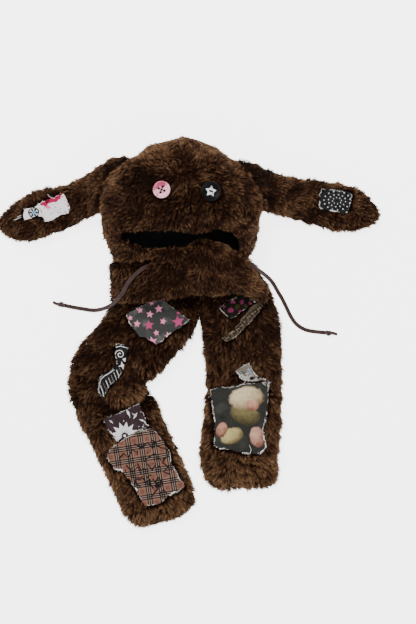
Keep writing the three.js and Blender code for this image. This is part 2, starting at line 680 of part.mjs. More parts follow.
/** The triangles across one edge of the band, from its outer points to its inner ones. */
function closeBandEnd(triangles, first, turned) {
  const add = (a, b, c) => triangles.push(first + a, first + (turned ? c : b), first + (turned ? b : c));
  const outer = bandSteps + 1;
  const inner = bandSteps / 2 + 1;
  const under = (step) => outer + inner - 1 - step;
  for (let step = 0; step < inner - 1; step++) {
    const i = 2 * step;
    add(i, i + 1, under(step));
    add(i + 1, under(step + 1), under(step));
    add(i + 1, i + 2, under(step + 1));
  }
}

// Cutting tools and fittings

/** An upright prism through an outline, from one height to another. */
function prism(corners, low, high) {
  const shape = new THREE.Shape(corners.map(([x, y]) => new THREE.Vector2(x, y)));
  const geometry = new THREE.ExtrudeGeometry(shape, { depth: high - low, bevelEnabled: false });
  geometry.translate(0, 0, low);
  return solidOf(geometry);
}

/** The height and the slope of a fur form's top at a place, over the width of what sits there. */
function seatOn(form, x, y, radius) {
  const mesh = new THREE.Mesh(furGeometry(form), new THREE.MeshBasicMaterial());
  const probe = new THREE.Raycaster();
  const height = (px, py) => {
    probe.set(new THREE.Vector3(px, py, 10 * hoodDepth), new THREE.Vector3(0, 0, -1));
    return probe.intersectObject(mesh)[0].point.z;
  };
  const slopeX = (height(x + radius, y) - height(x - radius, y)) / (2 * radius);
  const slopeY = (height(x, y + radius) - height(x, y - radius)) / (2 * radius);
  const normal = new THREE.Vector3(-slopeX, -slopeY, 1).normalize();
  return { point: new THREE.Vector3(x, y, height(x, y)), normal };
}

/** Stands a piece on its seat, with its own Z along the seat's slope. */
function setOn(mesh, seat, lift) {
  mesh.position.copy(seat.point).addScaledVector(seat.normal, lift);
  mesh.quaternion.setFromUnitVectors(new THREE.Vector3(0, 0, 1), seat.normal);
}

/** A prism down through the front of the hood, with corners in shares of its width and length. */
function frontCutter(corners) {
  const outline = corners.map(({ across, up }) => [across * hoodWidth, up * hoodLength]);
  return prism(outline, frontCutFoot * hoodDepth, frontCutTop * hoodDepth);
}

// Pieces

/** The hollow hood, open at the face slot and the neck. */
function makeHood() {
  const cavity = furSolid(coarse(hoodForm), { grow: -hoodWall, skip: 1, beyond: cutPast });
  const shell = furSolid(hoodForm, { lock: lockDepth }).subtract(cavity);
  const open = shell.subtract(frontCutter(faceSlot)).subtract(bandSolid(clearance, 0));
  return piece('hood', geometryOf(open), finish(fur.color, fur.roughness));
}

/** The same form with fewer, longer steps, for smooth inner faces. */
function coarse(form) {
  const arcSteps = 2 * Math.round(innerSteps * form.arcSteps / 2);
  const angles = sectionAngles(form.width, form.height, form.roundness, arcSteps);
  return { ...form, spacing: innerSpacing * form.spacing, arcSteps, angles };
}

/** The thin lining inside the hood, cut away in front from the top of the face slot down. */
function makeLining() {
  const outerGrow = -hoodWall - liningClearance;
  const outer = furSolid(coarse(hoodForm), { grow: outerGrow, skip: 1 });
  const innerGrow = outerGrow - liningWall;
  const inner = furSolid(coarse(hoodForm), { grow: innerGrow, skip: 1, beyond: cutPast });
  const sheet = outer.subtract(inner).subtract(frontCutter(liningFront));
  return piece('hood_lining', geometryOf(sheet), liningFinish);
}

/** The band under the chin, resting on the tops of the two tails. */
function makeBand(leftTail, rightTail) {
  const band = bandSolid(0, lockDepth).subtract(leftTail).subtract(rightTail);
  return piece('neck_band', geometryOf(band), finish(fur.color, fur.roughness));
}

/** An ear whose gathered root is sewn to the hood's corner. */
function makeEar(name, form) {
  const hood = furSolid(hoodForm, { grow: 2 * clearance });
  const ear = furSolid(form, { lock: lockDepth }).subtract(hood);
  return piece(name, geometryOf(ear), finish(fur.color, fur.roughness));
}

/** A sewn patch that follows the top of what carries it. */
function makePatch(name, patch, form) {
  const centre = form.start.clone();
  centre.addScaledVector(form.along, patch.at * form.length);
  centre.addScaledVector(form.across, patch.side * form.width);
  const width = patch.wide * form.width;
  const height = patch.tall * form.width;
  const corners = patch.corners.map(([x, y]) => [centre.x + x * width, centre.y + y * height]);
  const column = prism(corners, form.height / 2, 3 * form.height);
  const above = furSolid(form, { grow: patchClearance + patchWall });
  const below = furSolid(form, { grow: patchClearance });
  return piece(name, geometryOf(column.intersect(above).subtract(below)), finish(patch.colour, 0.9));
}

/** A round button with a rim and a dished face. */
function buttonBlank(diameter) {
  const profile = buttonProfile.map(({ out, up }) => {
    return new THREE.Vector2(out * diameter / 2, up * buttonThickness);
  });
  return solidOf(new THREE.LatheGeometry(profile, buttonSides).rotateX(Math.PI / 2));
}

/** The pink eye button with four sewing holes. */
function makePinkButton() {
  let button = buttonBlank(pinkButtonDiameter);
  const radius = buttonHoleDiameter / 2;
  const spread = buttonHoleSpread / Math.SQRT2;
  for (const [x, y] of [[1, 1], [-1, 1], [-1, -1], [1, -1]]) {
    const hole = new THREE.CylinderGeometry(radius, radius, 3 * buttonThickness, buttonHoleSides);
    hole.rotateX(Math.PI / 2).translate(x * spread, y * spread, 0);
    button = button.subtract(solidOf(hole));
  }
  return piece('button_pink', geometryOf(button), pinkPlastic);
}

/** The five-pointed star that sits in the black button. */
function makeStar() {
  const corners = [];
  for (let i = 0; i < 10; i++) {
    const radius = starDiameter / 2 * (i % 2 === 0 ? 1 : starWaist);
    const angle = Math.PI / 2 + i * Math.PI / 5;
    corners.push([radius * Math.cos(angle), radius * Math.sin(angle)]);
  }
  const base = buttonDish * buttonThickness + clearance;
  return piece('star_inlay', geometryOf(prism(corners, base, base + starThickness)), pearl);
}

/** A flat lace along its route. */
function makeLace(name, route) {
  const path = new THREE.CatmullRomCurve3(route.map((point) => new THREE.Vector3(...point)));
  const section = new THREE.Shape();
  for (let i = 0; i < laceSides; i++) {
    const angle = (2 * i + 1) * Math.PI / laceSides;
    const x = laceThickness / 2 * Math.cos(angle) / Math.cos(Math.PI / laceSides);
    const y = laceWidth / 2 * Math.sin(angle) / Math.cos(Math.PI / laceSides);
    if (i === 0) section.moveTo(x, y);
    else section.lineTo(x, y);
  }
  const lace = new THREE.ExtrudeGeometry(section, { steps: laceSteps, extrudePath: path });
  return piece(name, geometryOf(solidOf(lace)), laceFinish);
}

/** The knot that ends a lace, with the short tip that sticks out of it. */
function makeKnot(name, route) {
  const end = new THREE.Vector3(...route.at(-1));
  const way = end.clone().sub(new THREE.Vector3(...route.at(-2))).setZ(0).normalize();
  const ball = new THREE.SphereGeometry(0.5, knotSides, knotBands).scale(knotLength, knotWidth, knotHeight);
  const tip = new THREE.CylinderGeometry(0.5, 0.5, laceTipLength, laceSides).rotateZ(Math.PI / 2);
  tip.scale(1, 0.6 * laceWidth, laceThickness);
  tip.translate((knotLength + laceTipLength) / 2 - laceTipOverlap, 0, laceThickness - knotHeight / 2);
  const knot = piece(name, geometryOf(solidOf(ball).add(solidOf(tip))), laceFinish);
  knot.position.copy(end).addScaledVector(way, knotLength / 2 + clearance).setZ(knotHeight / 2);
  knot.rotation.z = Math.atan2(way.y, way.x);
  return knot;
}

// Assembly

const grownLeftTail = furSolid(leftTailForm, { grow: clearance });
const grownRightTail = furSolid(rightTailForm, { grow: clearance });
const carriers = {
  ear_left: leftEarForm,
  ear_right: rightEarForm,
  tail_left: leftTailForm,
  tail_right: rightTailForm,
};

const body = new THREE.Group();
body.add(makeHood());
body.add(makeLining());
body.add(makeBand(grownLeftTail, grownRightTail));
body.add(makeEar('ear_left', leftEarForm));
body.add(makeEar('ear_right', rightEarForm));
const tailLeft = geometryOf(furSolid(leftTailForm, { lock: lockDepth }));
body.add(piece('tail_left', tailLeft, finish(fur.color, fur.roughness)));
const tailRight = geometryOf(furSolid(rightTailForm, { lock: lockDepth }).subtract(grownLeftTail));
body.add(piece('tail_right', tailRight, finish(fur.color, fur.roughness)));

for (const [place, diameter, parts] of [
  [pinkButtonPlace, pinkButtonDiameter, [makePinkButton()]],
  [blackButtonPlace, blackButtonDiameter,
    [piece('button_black', geometryOf(buttonBlank(blackButtonDiameter)), blackPlastic), makeStar()]],
]) {
  const seat = seatOn(hoodForm, place.across * hoodWidth, place.up * hoodLength, diameter / 2);
  for (const part of parts) {
    setOn(part, seat, 2 * clearance);
    body.add(part);
  }
}

for (const [name, patch] of Object.entries(patches)) {
  body.add(makePatch(name, patch, carriers[patch.on]));
}

body.updateMatrixWorld(true);
const bounds = new THREE.Box3().setFromObject(body);

const cords = new THREE.Group();
cords.add(makeLace('cord_left', leftLaceRoute));
cords.add(makeKnot('knot_left', leftLaceRoute));
cords.add(makeLace('cord_right', rightLaceRoute));
cords.add(makeKnot('knot_right', rightLaceRoute));

// The origin is under the middle of the object, on the floor.
const hoodScarf = new THREE.Group();
hoodScarf.add(body, cords);
hoodScarf.position.set(
  -(bounds.min.x + bounds.max.x) / 2, -(bounds.min.y + bounds.max.y) / 2, -bounds.min.z,
);

export default hoodScarf;
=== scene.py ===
"""Looks of a plush animal hood scarf that lies on its back on a pale floor, seen from straight above.

Every length is in metres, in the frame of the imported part, except that the print on a patch is drawn
in millimetres from the patch's middle. The furry pieces are soft skins with a deep pile of modelled
strands, the patches are sheets of printed cloth with frayed edges, and the drawcord is a flat lace
with a knot on each end.
"""

import logging
import math
from dataclasses import dataclass, field
from enum import Enum
from typing import Any, Callable, Sequence

import bpy
import numpy as np
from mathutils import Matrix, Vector, geometry
from mathutils.bvhtree import BVHTree
from mathutils.kdtree import KDTree


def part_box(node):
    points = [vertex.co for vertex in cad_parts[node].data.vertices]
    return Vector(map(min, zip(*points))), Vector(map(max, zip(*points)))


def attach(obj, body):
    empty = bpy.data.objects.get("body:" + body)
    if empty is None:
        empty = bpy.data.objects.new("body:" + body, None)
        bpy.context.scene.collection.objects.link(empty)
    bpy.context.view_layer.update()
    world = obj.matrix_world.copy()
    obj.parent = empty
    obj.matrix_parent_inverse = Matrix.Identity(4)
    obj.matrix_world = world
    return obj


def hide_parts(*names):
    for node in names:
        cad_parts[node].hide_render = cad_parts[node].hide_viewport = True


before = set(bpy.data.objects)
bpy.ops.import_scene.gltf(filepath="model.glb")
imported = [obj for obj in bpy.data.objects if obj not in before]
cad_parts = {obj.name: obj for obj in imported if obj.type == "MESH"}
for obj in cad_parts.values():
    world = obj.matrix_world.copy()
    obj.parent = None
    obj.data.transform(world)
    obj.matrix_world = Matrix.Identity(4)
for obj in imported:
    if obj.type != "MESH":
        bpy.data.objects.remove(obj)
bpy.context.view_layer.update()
LOG = logging.getLogger("hood_scarf")
BODY = "root"
FUR_UV = "OFBake"
SEAM_SHIFT = Vector((-0.0134735, 0.1250733, 0.0))
MILLIMETRE = 0.001
TURN = 2 * math.pi
SPLINE_STEPS = 24
BLOT_CORNERS = 18

Colour = tuple[float, float, float, float]
Point2 = tuple[float, float]
Array = np.ndarray
Motif = tuple[int, Array]
Cover = Callable[[Array], Array]
Seat = tuple[Vector, Vector, Vector, Vector]
UP = np.array([0.0, 0.0, 1.0])


def tint(red: float, green: float, blue: float) -> Colour:
    """Turns screen values from 0 to 255 into a linear colour.

    Args:
        red: Red on the screen.
        green: Green on the screen.
        blue: Blue on the screen.

    Returns:
        The linear colour with full alpha.
    """
    linear = [((c / 255 + 0.055) / 1.055) ** 2.4 if c > 10 else c / 255 / 12.92 for c in (red, green, blue)]
    return (linear[0], linear[1], linear[2], 1.0)


# Shaders


class Value:
    """A shader socket that takes part in Python expressions."""

    def __init__(self, shader: "Shader", socket: bpy.types.NodeSocket) -> None:
        """Wraps a socket.

        Args:
            shader: The material's tree that the socket is in.
            socket: The output socket.
        """
        self.shader = shader
        self.socket = socket

    def _math(self, operation: str, *others: "Value | float", swap: bool = False) -> "Value":
        """Adds one Math node on this value.

        Args:
            operation: The node's operation.
            others: The further inputs.
            swap: True if this value is the second input.

        Returns:
            The node's result.
        """
        inputs = [self, *others]
        if swap:
            inputs.reverse()
        node = self.shader.node("ShaderNodeMath", {"operation": operation}, dict(enumerate(inputs)))
        return Value(self.shader, node.outputs[0])

    def __add__(self, other: "Value | float") -> "Value":
        """Sum."""
        return self._math("ADD", other)

    __radd__ = __add__

    def __mul__(self, other: "Value | float") -> "Value":
        """Product."""
        return self._math("MULTIPLY", other)

    __rmul__ = __mul__

    def __sub__(self, other: "Value | float") -> "Value":
        """Difference."""
        return self._math("SUBTRACT", other)

    def __rsub__(self, other: "Value | float") -> "Value":
        """Difference from a number."""
        return self._math("SUBTRACT", other, swap=True)

    def __truediv__(self, other: "Value | float") -> "Value":
        """Quotient."""
        return self._math("DIVIDE", other)

    def __abs__(self) -> "Value":
        """Size without sign."""
        return self._math("ABSOLUTE")

    def sine(self) -> "Value":
        """Sine of the value in radians."""
        return self._math("SINE")

    def root(self) -> "Value":
        """Square root."""
        return self._math("SQRT")

    def wrapped(self, step: float) -> "Value":
        """Distance from the nearest multiple of a step."""
        return self._math("PINGPONG", step / 2)

    def band(self, low: float, high: float) -> "Value":
        """Rises smoothly from 0 to 1 between two values.

        Args:
            low: Where the rise starts.
            high: Where it ends.

        Returns:
            The smooth step.
        """
        settings = {"interpolation_type": "SMOOTHSTEP"}
        inputs = {"Value": self, "From Min": low, "From Max": high}
        node = self.shader.node("ShaderNodeMapRange", settings, inputs)
        return Value(self.shader, node.outputs["Result"])


class Shader:
    """A material's node tree, built from Python expressions."""

    def __init__(self, name: str) -> None:
        """Starts a material with a plain Principled surface.

        Args:
            name: The material's name.
        """
        self.material = bpy.data.materials.new(name)
        self.material.use_nodes = True
        self.tree = self.material.node_tree
        self.surface = self.tree.nodes["Principled BSDF"]

    def feed(self, socket: bpy.types.NodeSocket, value: Any) -> None:
        """Links or sets a socket.

        Args:
            socket: The input socket.
            value: A wrapped socket, a socket, a number or a colour.
        """
        if isinstance(value, Value):
            self.tree.links.new(value.socket, socket)
        elif isinstance(value, bpy.types.NodeSocket):
            self.tree.links.new(value, socket)
        else:
            socket.default_value = value

    def node(
        self, kind: str, settings: dict[str, Any] | None = None, inputs: dict[Any, Any] | None = None
    ) -> Any:
        """Adds a node, with its settings first and its sockets after.

        Args:
            kind: The node's type.
            settings: Its properties, and the stops of a colour ramp.
            inputs: Values or links of its sockets, by name or number.

        Returns:
            The node.
        """
        made = self.tree.nodes.new(kind)
        for name, value in (settings or {}).items():
            if name != "stops":
                setattr(made, name, value)
                continue
            elements = made.color_ramp.elements
            for number, (position, colour) in enumerate(value):
                element = elements[number] if number < 2 else elements.new(position)
                element.position, element.color = position, colour
        for key, value in (inputs or {}).items():
            self.feed(made.inputs[key], value)
        return made

    def set(self, **sockets: Any) -> None:
        """Feeds sockets of the surface, named with underscores for spaces."""
        for name, value in sockets.items():
            self.feed(self.surface.inputs[name.replace("_", " ")], value)

    def place(self, origin: Vector | None = None) -> Any:
        """The point on the object, in metres from an origin."""
        point = self.node("ShaderNodeTexCoord").outputs["Object"]
        return point if origin is None else self.moved(point, tuple(-origin))

    def axes(self, vector: Any) -> tuple[Value, Value, Value]:
        """Splits a vector.

        Args:
            vector: The vector's socket.

        Returns:
            Its x, y and z.
        """
        outputs = self.node("ShaderNodeSeparateXYZ", inputs={0: vector}).outputs
        return Value(self, outputs[0]), Value(self, outputs[1]), Value(self, outputs[2])

    def moved(self, vector: Any, shift: Sequence[float], turn: float = 0.0) -> Any:
        """Shifts a vector and then turns it about Z.

        Args:
            vector: The vector's socket.
            shift: What is added to it.
            turn: The turn in radians.

        Returns:
            The moved vector's socket.
        """
        inputs = {0: vector, 1: tuple(shift)}
        added = self.node("ShaderNodeVectorMath", {"operation": "ADD"}, inputs).outputs[0]
        settings = {"rotation_type": "Z_AXIS"}
        return self.node("ShaderNodeVectorRotate", settings, {"Vector": added, "Angle": turn}).outputs[0]

    def noise(self, vector: Any, size: float, detail: float = 2.0, roughness: float = 0.5) -> Value:
        """Cloudy noise.

        Args:
            vector: Where it is read.
            size: The width of its clouds in metres.
            detail: How many finer layers it has.
            roughness: How strong the finer layers are.

        Returns:
            The noise from 0 to 1.
        """
        inputs = {"Vector": vector, "Scale": 1 / size, "Detail": detail, "Roughness": roughness}
        return Value(self, self.node("ShaderNodeTexNoise", inputs=inputs).outputs[0])

    def mix(self, factor: Value | float, first: Any, second: Any) -> Any:
        """Mixes two colours.

        Args:
            factor: 0 for the first and 1 for the second.
            first: A colour or its socket.
            second: A colour or its socket.

        Returns:
            The mixed colour's socket.
        """
        node = self.node("ShaderNodeMix", {"data_type": "RGBA"}, {0: factor, 6: first, 7: second})
        return node.outputs[2]

    def weave(self, first: Value, second: Value, pitch: float) -> Value:
        """Threads that cross.

        Args:
            first: The length along one set of threads.
            second: The length along the other.
            pitch: The distance from thread to thread in metres.

        Returns:
            The weave's height, from -1 to 1.
        """
        return (first * (TURN / pitch)).sine() * (second * (TURN / pitch)).sine()

    def attribute(self, name: str) -> Value:
        """A value kept on the mesh under a name."""
        return Value(self, self.node("ShaderNodeAttribute", {"attribute_name": name}).outputs["Fac"])

    def bump(self, height: Value, depth: float) -> None:
        """Bends the surface's normal by a height.

        Args:
            height: The height from 0 to 1.
            depth: How deep the relief is in metres.
        """
        node = self.node("ShaderNodeBump", inputs={"Strength": 1.0, "Distance": depth, "Height": height})
        self.set(Normal=node.outputs["Normal"])


@dataclass(frozen=True)
class FurFinish:
    """Deep plush: dark at the roots, where the dark root colour is painted shade deep in the pile, brown along
    the strands and paler at some tips, partly with painted highlights.
    """

    # Painted shade: the root colour is the dark of the shadow deep in the pile, used on the strands' roots and
    # on the backing.
    root: Colour = tint(19, 7, 2)
    middle: Colour = tint(59, 29, 13)
    tip: Colour = tint(156, 120, 86)
    roughness: float = 0.7
    sheen: float = 0.06

    def strands(self) -> bpy.types.Material:
        """The strands' material, coloured by each strand's tone and by the way along it, with painted shade
        toward the roots and on dark-toned strands.
        """
        shader = Shader("plush_strands")
        coordinate = shader.node("ShaderNodeUVMap", {"uv_map": FUR_UV}).outputs[0]
        tone, along, _ = shader.axes(coordinate)
        # Painted shade: each strand darkens toward the root colour near its root.
        body = shader.mix(along.band(0.05, 0.75), self.root, self.middle)
        # Painted shade: dark-toned strands darken further toward the root colour.
        shaded = shader.mix((1 - tone).band(0.35, 0.95) * 0.85, body, self.root)
        # Paler tips on pale-toned strands: partly the fur's own paler tips, partly the painted highlights that
        # the tones carry.
        paler = along.band(0.25, 1.0) * tone.band(0.30, 0.95)
        shader.set(Base_Color=shader.mix(paler, shaded, self.tip), Roughness=self.roughness)
        shader.set(Sheen_Weight=self.sheen, Sheen_Roughness=0.5, Sheen_Tint=self.tip, Specular_IOR_Level=0.12)
        return shader.material

    def skin(self) -> bpy.types.Material:
        """The backing between the strands, with the pile's short underfur, mixed from the dark root colour,
        which is painted shade deep in the pile, and the middle brown.
        """
        shader = Shader("plush_backing")
        place = shader.place()
        tufts = shader.noise(place, 0.006, 4.0, 0.65)
        shader.set(Base_Color=shader.mix(tufts.band(0.35, 0.75), self.root, self.middle), Roughness=0.9)
        shader.set(Specular_IOR_Level=0.05)
        shader.bump(tufts, 0.004)
        return shader.material


@dataclass(frozen=True)
class LiningFinish:
    """Thin black lining cloth with a soft weave and patches of painted sheen."""

    colour: Colour = tint(9, 9, 10)
    sheen_colour: Colour = tint(40, 40, 46)
    pitch: float = 0.0012

    def material(self) -> bpy.types.Material:
        """The lining's material."""
        shader = Shader("black_lining")
        place = shader.place()
        x, y, z = shader.axes(place)
        weave = shader.weave(x + z, y, self.pitch)
        # Painted sheen: noise patches lighten the black toward a grey sheen colour.
        painted_sheen = shader.noise(place, 0.03, 3.0)
        shader.set(Base_Color=shader.mix(painted_sheen.band(0.5, 0.8) * 0.5, self.colour, self.sheen_colour))
        shader.set(Roughness=0.75, Specular_IOR_Level=0.2)
        shader.bump(weave * 0.5 + 0.5, 0.0002)
        return shader.material


@dataclass(frozen=True)
class LaceFinish:
    """Flat woven lace, brown with a mauve cast."""

    dark: Colour = tint(42, 27, 25)
    pale: Colour = tint(82, 59, 55)
    pitch: float = 0.0016

    def material(self) -> bpy.types.Material:
        """The lace's material."""
        shader = Shader("woven_lace")
        place = shader.place()
        x, y, _ = shader.axes(place)
        braid = shader.weave(x + y, x - y, self.pitch)
        patchy = shader.noise(place, 0.012, 2.0)
        shade = (braid * 0.25 + 0.3 + patchy * 0.4).band(0.2, 0.9)
        shader.set(Base_Color=shader.mix(shade, self.dark, self.pale), Roughness=0.72)
        shader.set(Sheen_Weight=0.08, Specular_IOR_Level=0.2)
        shader.bump(braid * 0.5 + 0.5, 0.0004)
        return shader.material


@dataclass(frozen=True)
class ButtonFinish:
    """Glossy moulded plastic with soft clouds of a second colour."""

    name: str
    colour: Colour
    cloud: Colour
    clouds: float = 0.008
    roughness: float = 0.22
    coat: float = 0.25
    gloss: float = 0.5
    lean: float = 0.0

    def material(self, middle: Vector) -> bpy.types.Material:
        """The plastic's material.

        Args:
            middle: The button's middle, from which its clouds thicken to the upper left.

        Returns:
            The material.
        """
        shader = Shader(self.name)
        place = shader.place(middle)
        x, y, _ = shader.axes(place)
        marble = shader.noise(place, self.clouds, 3.0, 0.6) + (y - x) * self.lean
        shader.set(Base_Color=shader.mix(marble.band(0.42, 0.66), self.colour, self.cloud))
        shader.set(Roughness=self.roughness, Specular_IOR_Level=self.gloss)
        shader.set(Coat_Weight=self.coat, Coat_Roughness=0.15)
        return shader.material


@dataclass(frozen=True)
class ClothFinish:
    """Printed cotton: a ground, its inks by motif number, a weave and worn patches."""

    name: str
    ground: Colour
    inks: tuple[Colour, ...] = ()
    cloud: Colour = tint(128, 124, 120)
    clouds: float = 0.25
    cloud_size: float = 0.014
    torn: float = 0.0022
    torn_colour: Colour = tint(244, 240, 234)
    pitch: float = 0.0011
    pattern: "Callable[[Shader, Any, Any], Any] | None" = None

    def material(self, middle: Vector) -> bpy.types.Material:
        """The cloth's material.

        Args:
            middle: The middle of the patch, where its pattern starts.

        Returns:
            The material.
        """
        shader = Shader(self.name)
        place = shader.place(middle)
        x, y, _ = shader.axes(place)
        fade = shader.noise(place, self.cloud_size, 4.0, 0.6)
        colour = shader.mix(fade.band(0.45, 0.75) * self.clouds, self.ground, self.cloud)
        if self.pattern:
            colour = self.pattern(shader, place, colour)
        ink = shader.attribute("ink")
        for number, value in enumerate(self.inks, 1):
            worn = (1 - abs(ink - number).band(0.2, 0.4)) * (1 - fade.band(0.6, 0.8) * 0.35)
            colour = shader.mix(worn, colour, value)
        bare = shader.noise(place, 0.013, 3.0, 0.6).band(0.52, 0.61) * self.torn
        bare = bare * (1 - y.band(-0.02, 0.03) * 0.75)
        colour = shader.mix((bare - shader.attribute("edge")).band(0.0, 0.0004), colour, self.torn_colour)
        weave = shader.weave(x, y, self.pitch)
        shader.set(Base_Color=shader.mix((weave * 0.5 + 0.5) * 0.10, colour, tint(20, 18, 18)))
        shader.set(Roughness=0.85, Specular_IOR_Level=0.12)
        shader.bump(weave * 0.5 + fade, 0.0003)
        return shader.material


@dataclass(frozen=True)
class ThreadFinish:
    """Cotton thread."""

    name: str
    colour: Colour
    shade: Colour

    def material(self) -> bpy.types.Material:
        """The thread's material."""
        shader = Shader(self.name)
        patchy = shader.noise(shader.place(), 0.004, 3.0)
        shader.set(Base_Color=shader.mix(patchy.band(0.35, 0.7), self.colour, self.shade), Roughness=0.8)
        shader.set(Specular_IOR_Level=0.2)
        return shader.material


WHITE_THREADS = ThreadFinish("white_threads", tint(246, 242, 240), tint(204, 198, 196))
PALE_THREADS = ThreadFinish("frayed_threads", tint(226, 222, 214), tint(150, 146, 138))
BEIGE_THREADS = ThreadFinish("beige_threads", tint(184, 170, 150), tint(110, 98, 84))
BLACK_THREAD = ThreadFinish("black_thread", tint(8, 8, 9), tint(20, 20, 22))
DARK_THREAD = ThreadFinish("dark_thread", tint(30, 8, 10), tint(60, 20, 22))


# Meshes


def add_object(name: str, mesh: bpy.types.Mesh, *materials: bpy.types.Material) -> bpy.types.Object:
    """Links a mesh into the scene.

    Args:
        name: The object's name.
        mesh: Its mesh.
        materials: Its materials.

    Returns:
        The object.
    """
    mesh.name = name
    made = bpy.data.objects.new(name, mesh)
    bpy.context.scene.collection.objects.link(made)
    mesh.materials.clear()
    for material in materials:
        mesh.materials.append(material)
    return made


def mesh_of(
    points: Array, triangles: Array, smooth: bool = True, corners: Array | None = None
) -> bpy.types.Mesh:
    """A mesh from arrays.

    Args:
        points: One row for each vertex.
        triangles: Three vertex numbers a row.
        smooth: True for soft shading.
        corners: A place on the bake's map for each vertex.

    Returns:
        The mesh.
    """
    mesh = bpy.data.meshes.new("mesh")
    triangles = np.ascontiguousarray(triangles, np.int32)
    mesh.vertices.add(len(points))
    mesh.vertices.foreach_set("co", np.ascontiguousarray(points, np.float32).ravel())
    mesh.loops.add(triangles.size)
    mesh.loops.foreach_set("vertex_index", triangles.ravel())
    mesh.polygons.add(len(triangles))
    mesh.polygons.foreach_set("loop_start", np.arange(0, triangles.size, 3, dtype=np.int32))
    if corners is not None:
        layer = mesh.uv_layers.new(name=FUR_UV)
        layer.data.foreach_set("uv", np.ascontiguousarray(corners[triangles.ravel()], np.float32).ravel())
    mesh.update(calc_edges=True)
    mesh.polygons.foreach_set("use_smooth", np.full(len(triangles), smooth))
    return mesh


def fitted(thing: bpy.types.Object, node: str = "") -> None:
    """Fixes a piece to the body.

    Args:
        thing: The piece.
        node: The CAD node that it stands for, if any.
    """
    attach(thing, BODY)
    if node:
        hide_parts(node)


def copy_of(node: str) -> bpy.types.Object:
    """A copy of a CAD node's solid, for modifiers to work on."""
    rough = bpy.data.objects.new("rough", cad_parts[node].data.copy())
    bpy.context.scene.collection.objects.link(rough)
    return rough


def solid_tree(node: str) -> BVHTree:
    """A CAD node's solid, for finding points on it."""
    points, triangles, _ = arrays_of(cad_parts[node].data)
    return BVHTree.FromPolygons(points.tolist(), triangles.tolist())


def middle_of(node: str) -> Array:
    """The middle of a CAD node's box, seen from above."""
    lo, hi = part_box(node)
    return np.array([(lo.x + hi.x) / 2, (lo.y + hi.y) / 2, 0])


def applied(thing: bpy.types.Object) -> bpy.types.Mesh:
    """Applies an object's modifiers and removes the object.

    Args:
        thing: The object.

    Returns:
        The final mesh.
    """
    graph = bpy.context.evaluated_depsgraph_get()
    graph.update()
    mesh = bpy.data.meshes.new_from_object(thing.evaluated_get(graph))
    bpy.data.objects.remove(thing)
    return mesh


def arrays_of(mesh: bpy.types.Mesh) -> tuple[Array, Array, Array]:
    """A mesh as arrays.

    Args:
        mesh: The mesh.

    Returns:
        Its points, its triangles and its vertex normals.
    """
    mesh.calc_loop_triangles()
    points = np.empty(len(mesh.vertices) * 3, np.float32)
    mesh.vertices.foreach_get("co", points)
    normals = np.empty(len(mesh.vertices) * 3, np.float32)
    mesh.vertices.foreach_get("normal", normals)
    triangles = np.empty(len(mesh.loop_triangles) * 3, np.int32)
    mesh.loop_triangles.foreach_get("vertices", triangles)
    return points.reshape(-1, 3).astype(float), triangles.reshape(-1, 3), normals.reshape(-1, 3).astype(float)


def waves(points: Array, length: float, seed: int, count: int = 8) -> Array:
    """Smooth repeatable noise, about -1 to 1.

    Args:
        points: Where it is read.
        length: The usual distance between its hills in metres.
        seed: Which noise.
        count: How many waves it sums.

    Returns:
        One value a point.
    """
    draw = np.random.default_rng(seed)
    ways = draw.normal(size=(count, 3))
    ways /= np.linalg.norm(ways, axis=1)[:, None] * length * draw.uniform(0.65, 1.6, (count, 1))
    return np.cos(TURN * points @ ways.T + draw.uniform(0, TURN, count)).sum(1) / math.sqrt(count / 1.4)


def unit(vectors: Array) -> Array:
    """Vectors of length one."""
    return vectors / np.maximum(np.linalg.norm(vectors, axis=-1, keepdims=True), 1e-9)


def oval(count: int, wide: float, high: float | None = None) -> Array:
    """The outline of an oval.

    Args:
        count: How many corners it has.
        wide: Half its width.
        high: Half its height, the same as half its width where none is given.

    Returns:
        The corners.
    """
    angles = np.linspace(0, TURN, count, endpoint=False)
    return np.stack([np.cos(angles) * wide, np.sin(angles) * (high or wide)], 1)


def loft_faces(rows: int, size: int) -> Array:
    """The triangles of a closed form that is made of rings.

    Args:
        rows: How many rings it has.
        size: How many points a ring has.

    Returns:
        The triangles, which take the middles of the first and the last ring from after the rings.
    """
    row, step = np.meshgrid(np.arange(rows - 1), np.arange(size), indexing="ij")
    a, b = row * size + step, row * size + (step + 1) % size
    sides = np.stack([a, b, b + size, a, b + size, a + size], -1).reshape(-1, 3)
    ring, last = np.arange(size), (rows - 1) * size
    following = (ring + 1) % size
    start = np.stack([np.full(size, rows * size), following, ring], -1)
    end = np.stack([np.full(size, rows * size + 1), last + ring, last + following], -1)
    return np.concatenate([sides, start, end])


def tube_mesh(path: Array, across: Array, sections: Array) -> tuple[Array, Array]:
    """A closed tube that follows a path.

    Args:
        path: The points it follows.
        across: The way of its sections' first axis, one for all points or one for each.
        sections: Its outline as pairs of lengths across and up, one for all points or one for each.

    Returns:
        The points and the triangles.
    """
    ways = unit(np.gradient(path, axis=0))
    across = unit(across - (across * ways).sum(1)[:, None] * ways)
    up = np.cross(ways, across)
    sections = np.broadcast_to(sections, (len(path), *sections.shape[-2:]))
    rings = path[:, None] + sections[..., :1] * across[:, None] + sections[..., 1:] * up[:, None]
    points = np.concatenate([rings.reshape(-1, 3), path[:1], path[-1:]])
    return points, loft_faces(*rings.shape[:2])


def joined(parts: Sequence[tuple[Array, Array]]) -> tuple[Array, Array]:
    """Joins meshes given as points and triangles.

    Args:
        parts: The meshes.

    Returns:
        All points and all triangles.
    """
    shifts = np.cumsum([0] + [len(points) for points, _ in parts[:-1]])
    points = np.concatenate([points for points, _ in parts])
    return points, np.concatenate([triangles + shift for (_, triangles), shift in zip(parts, shifts)])


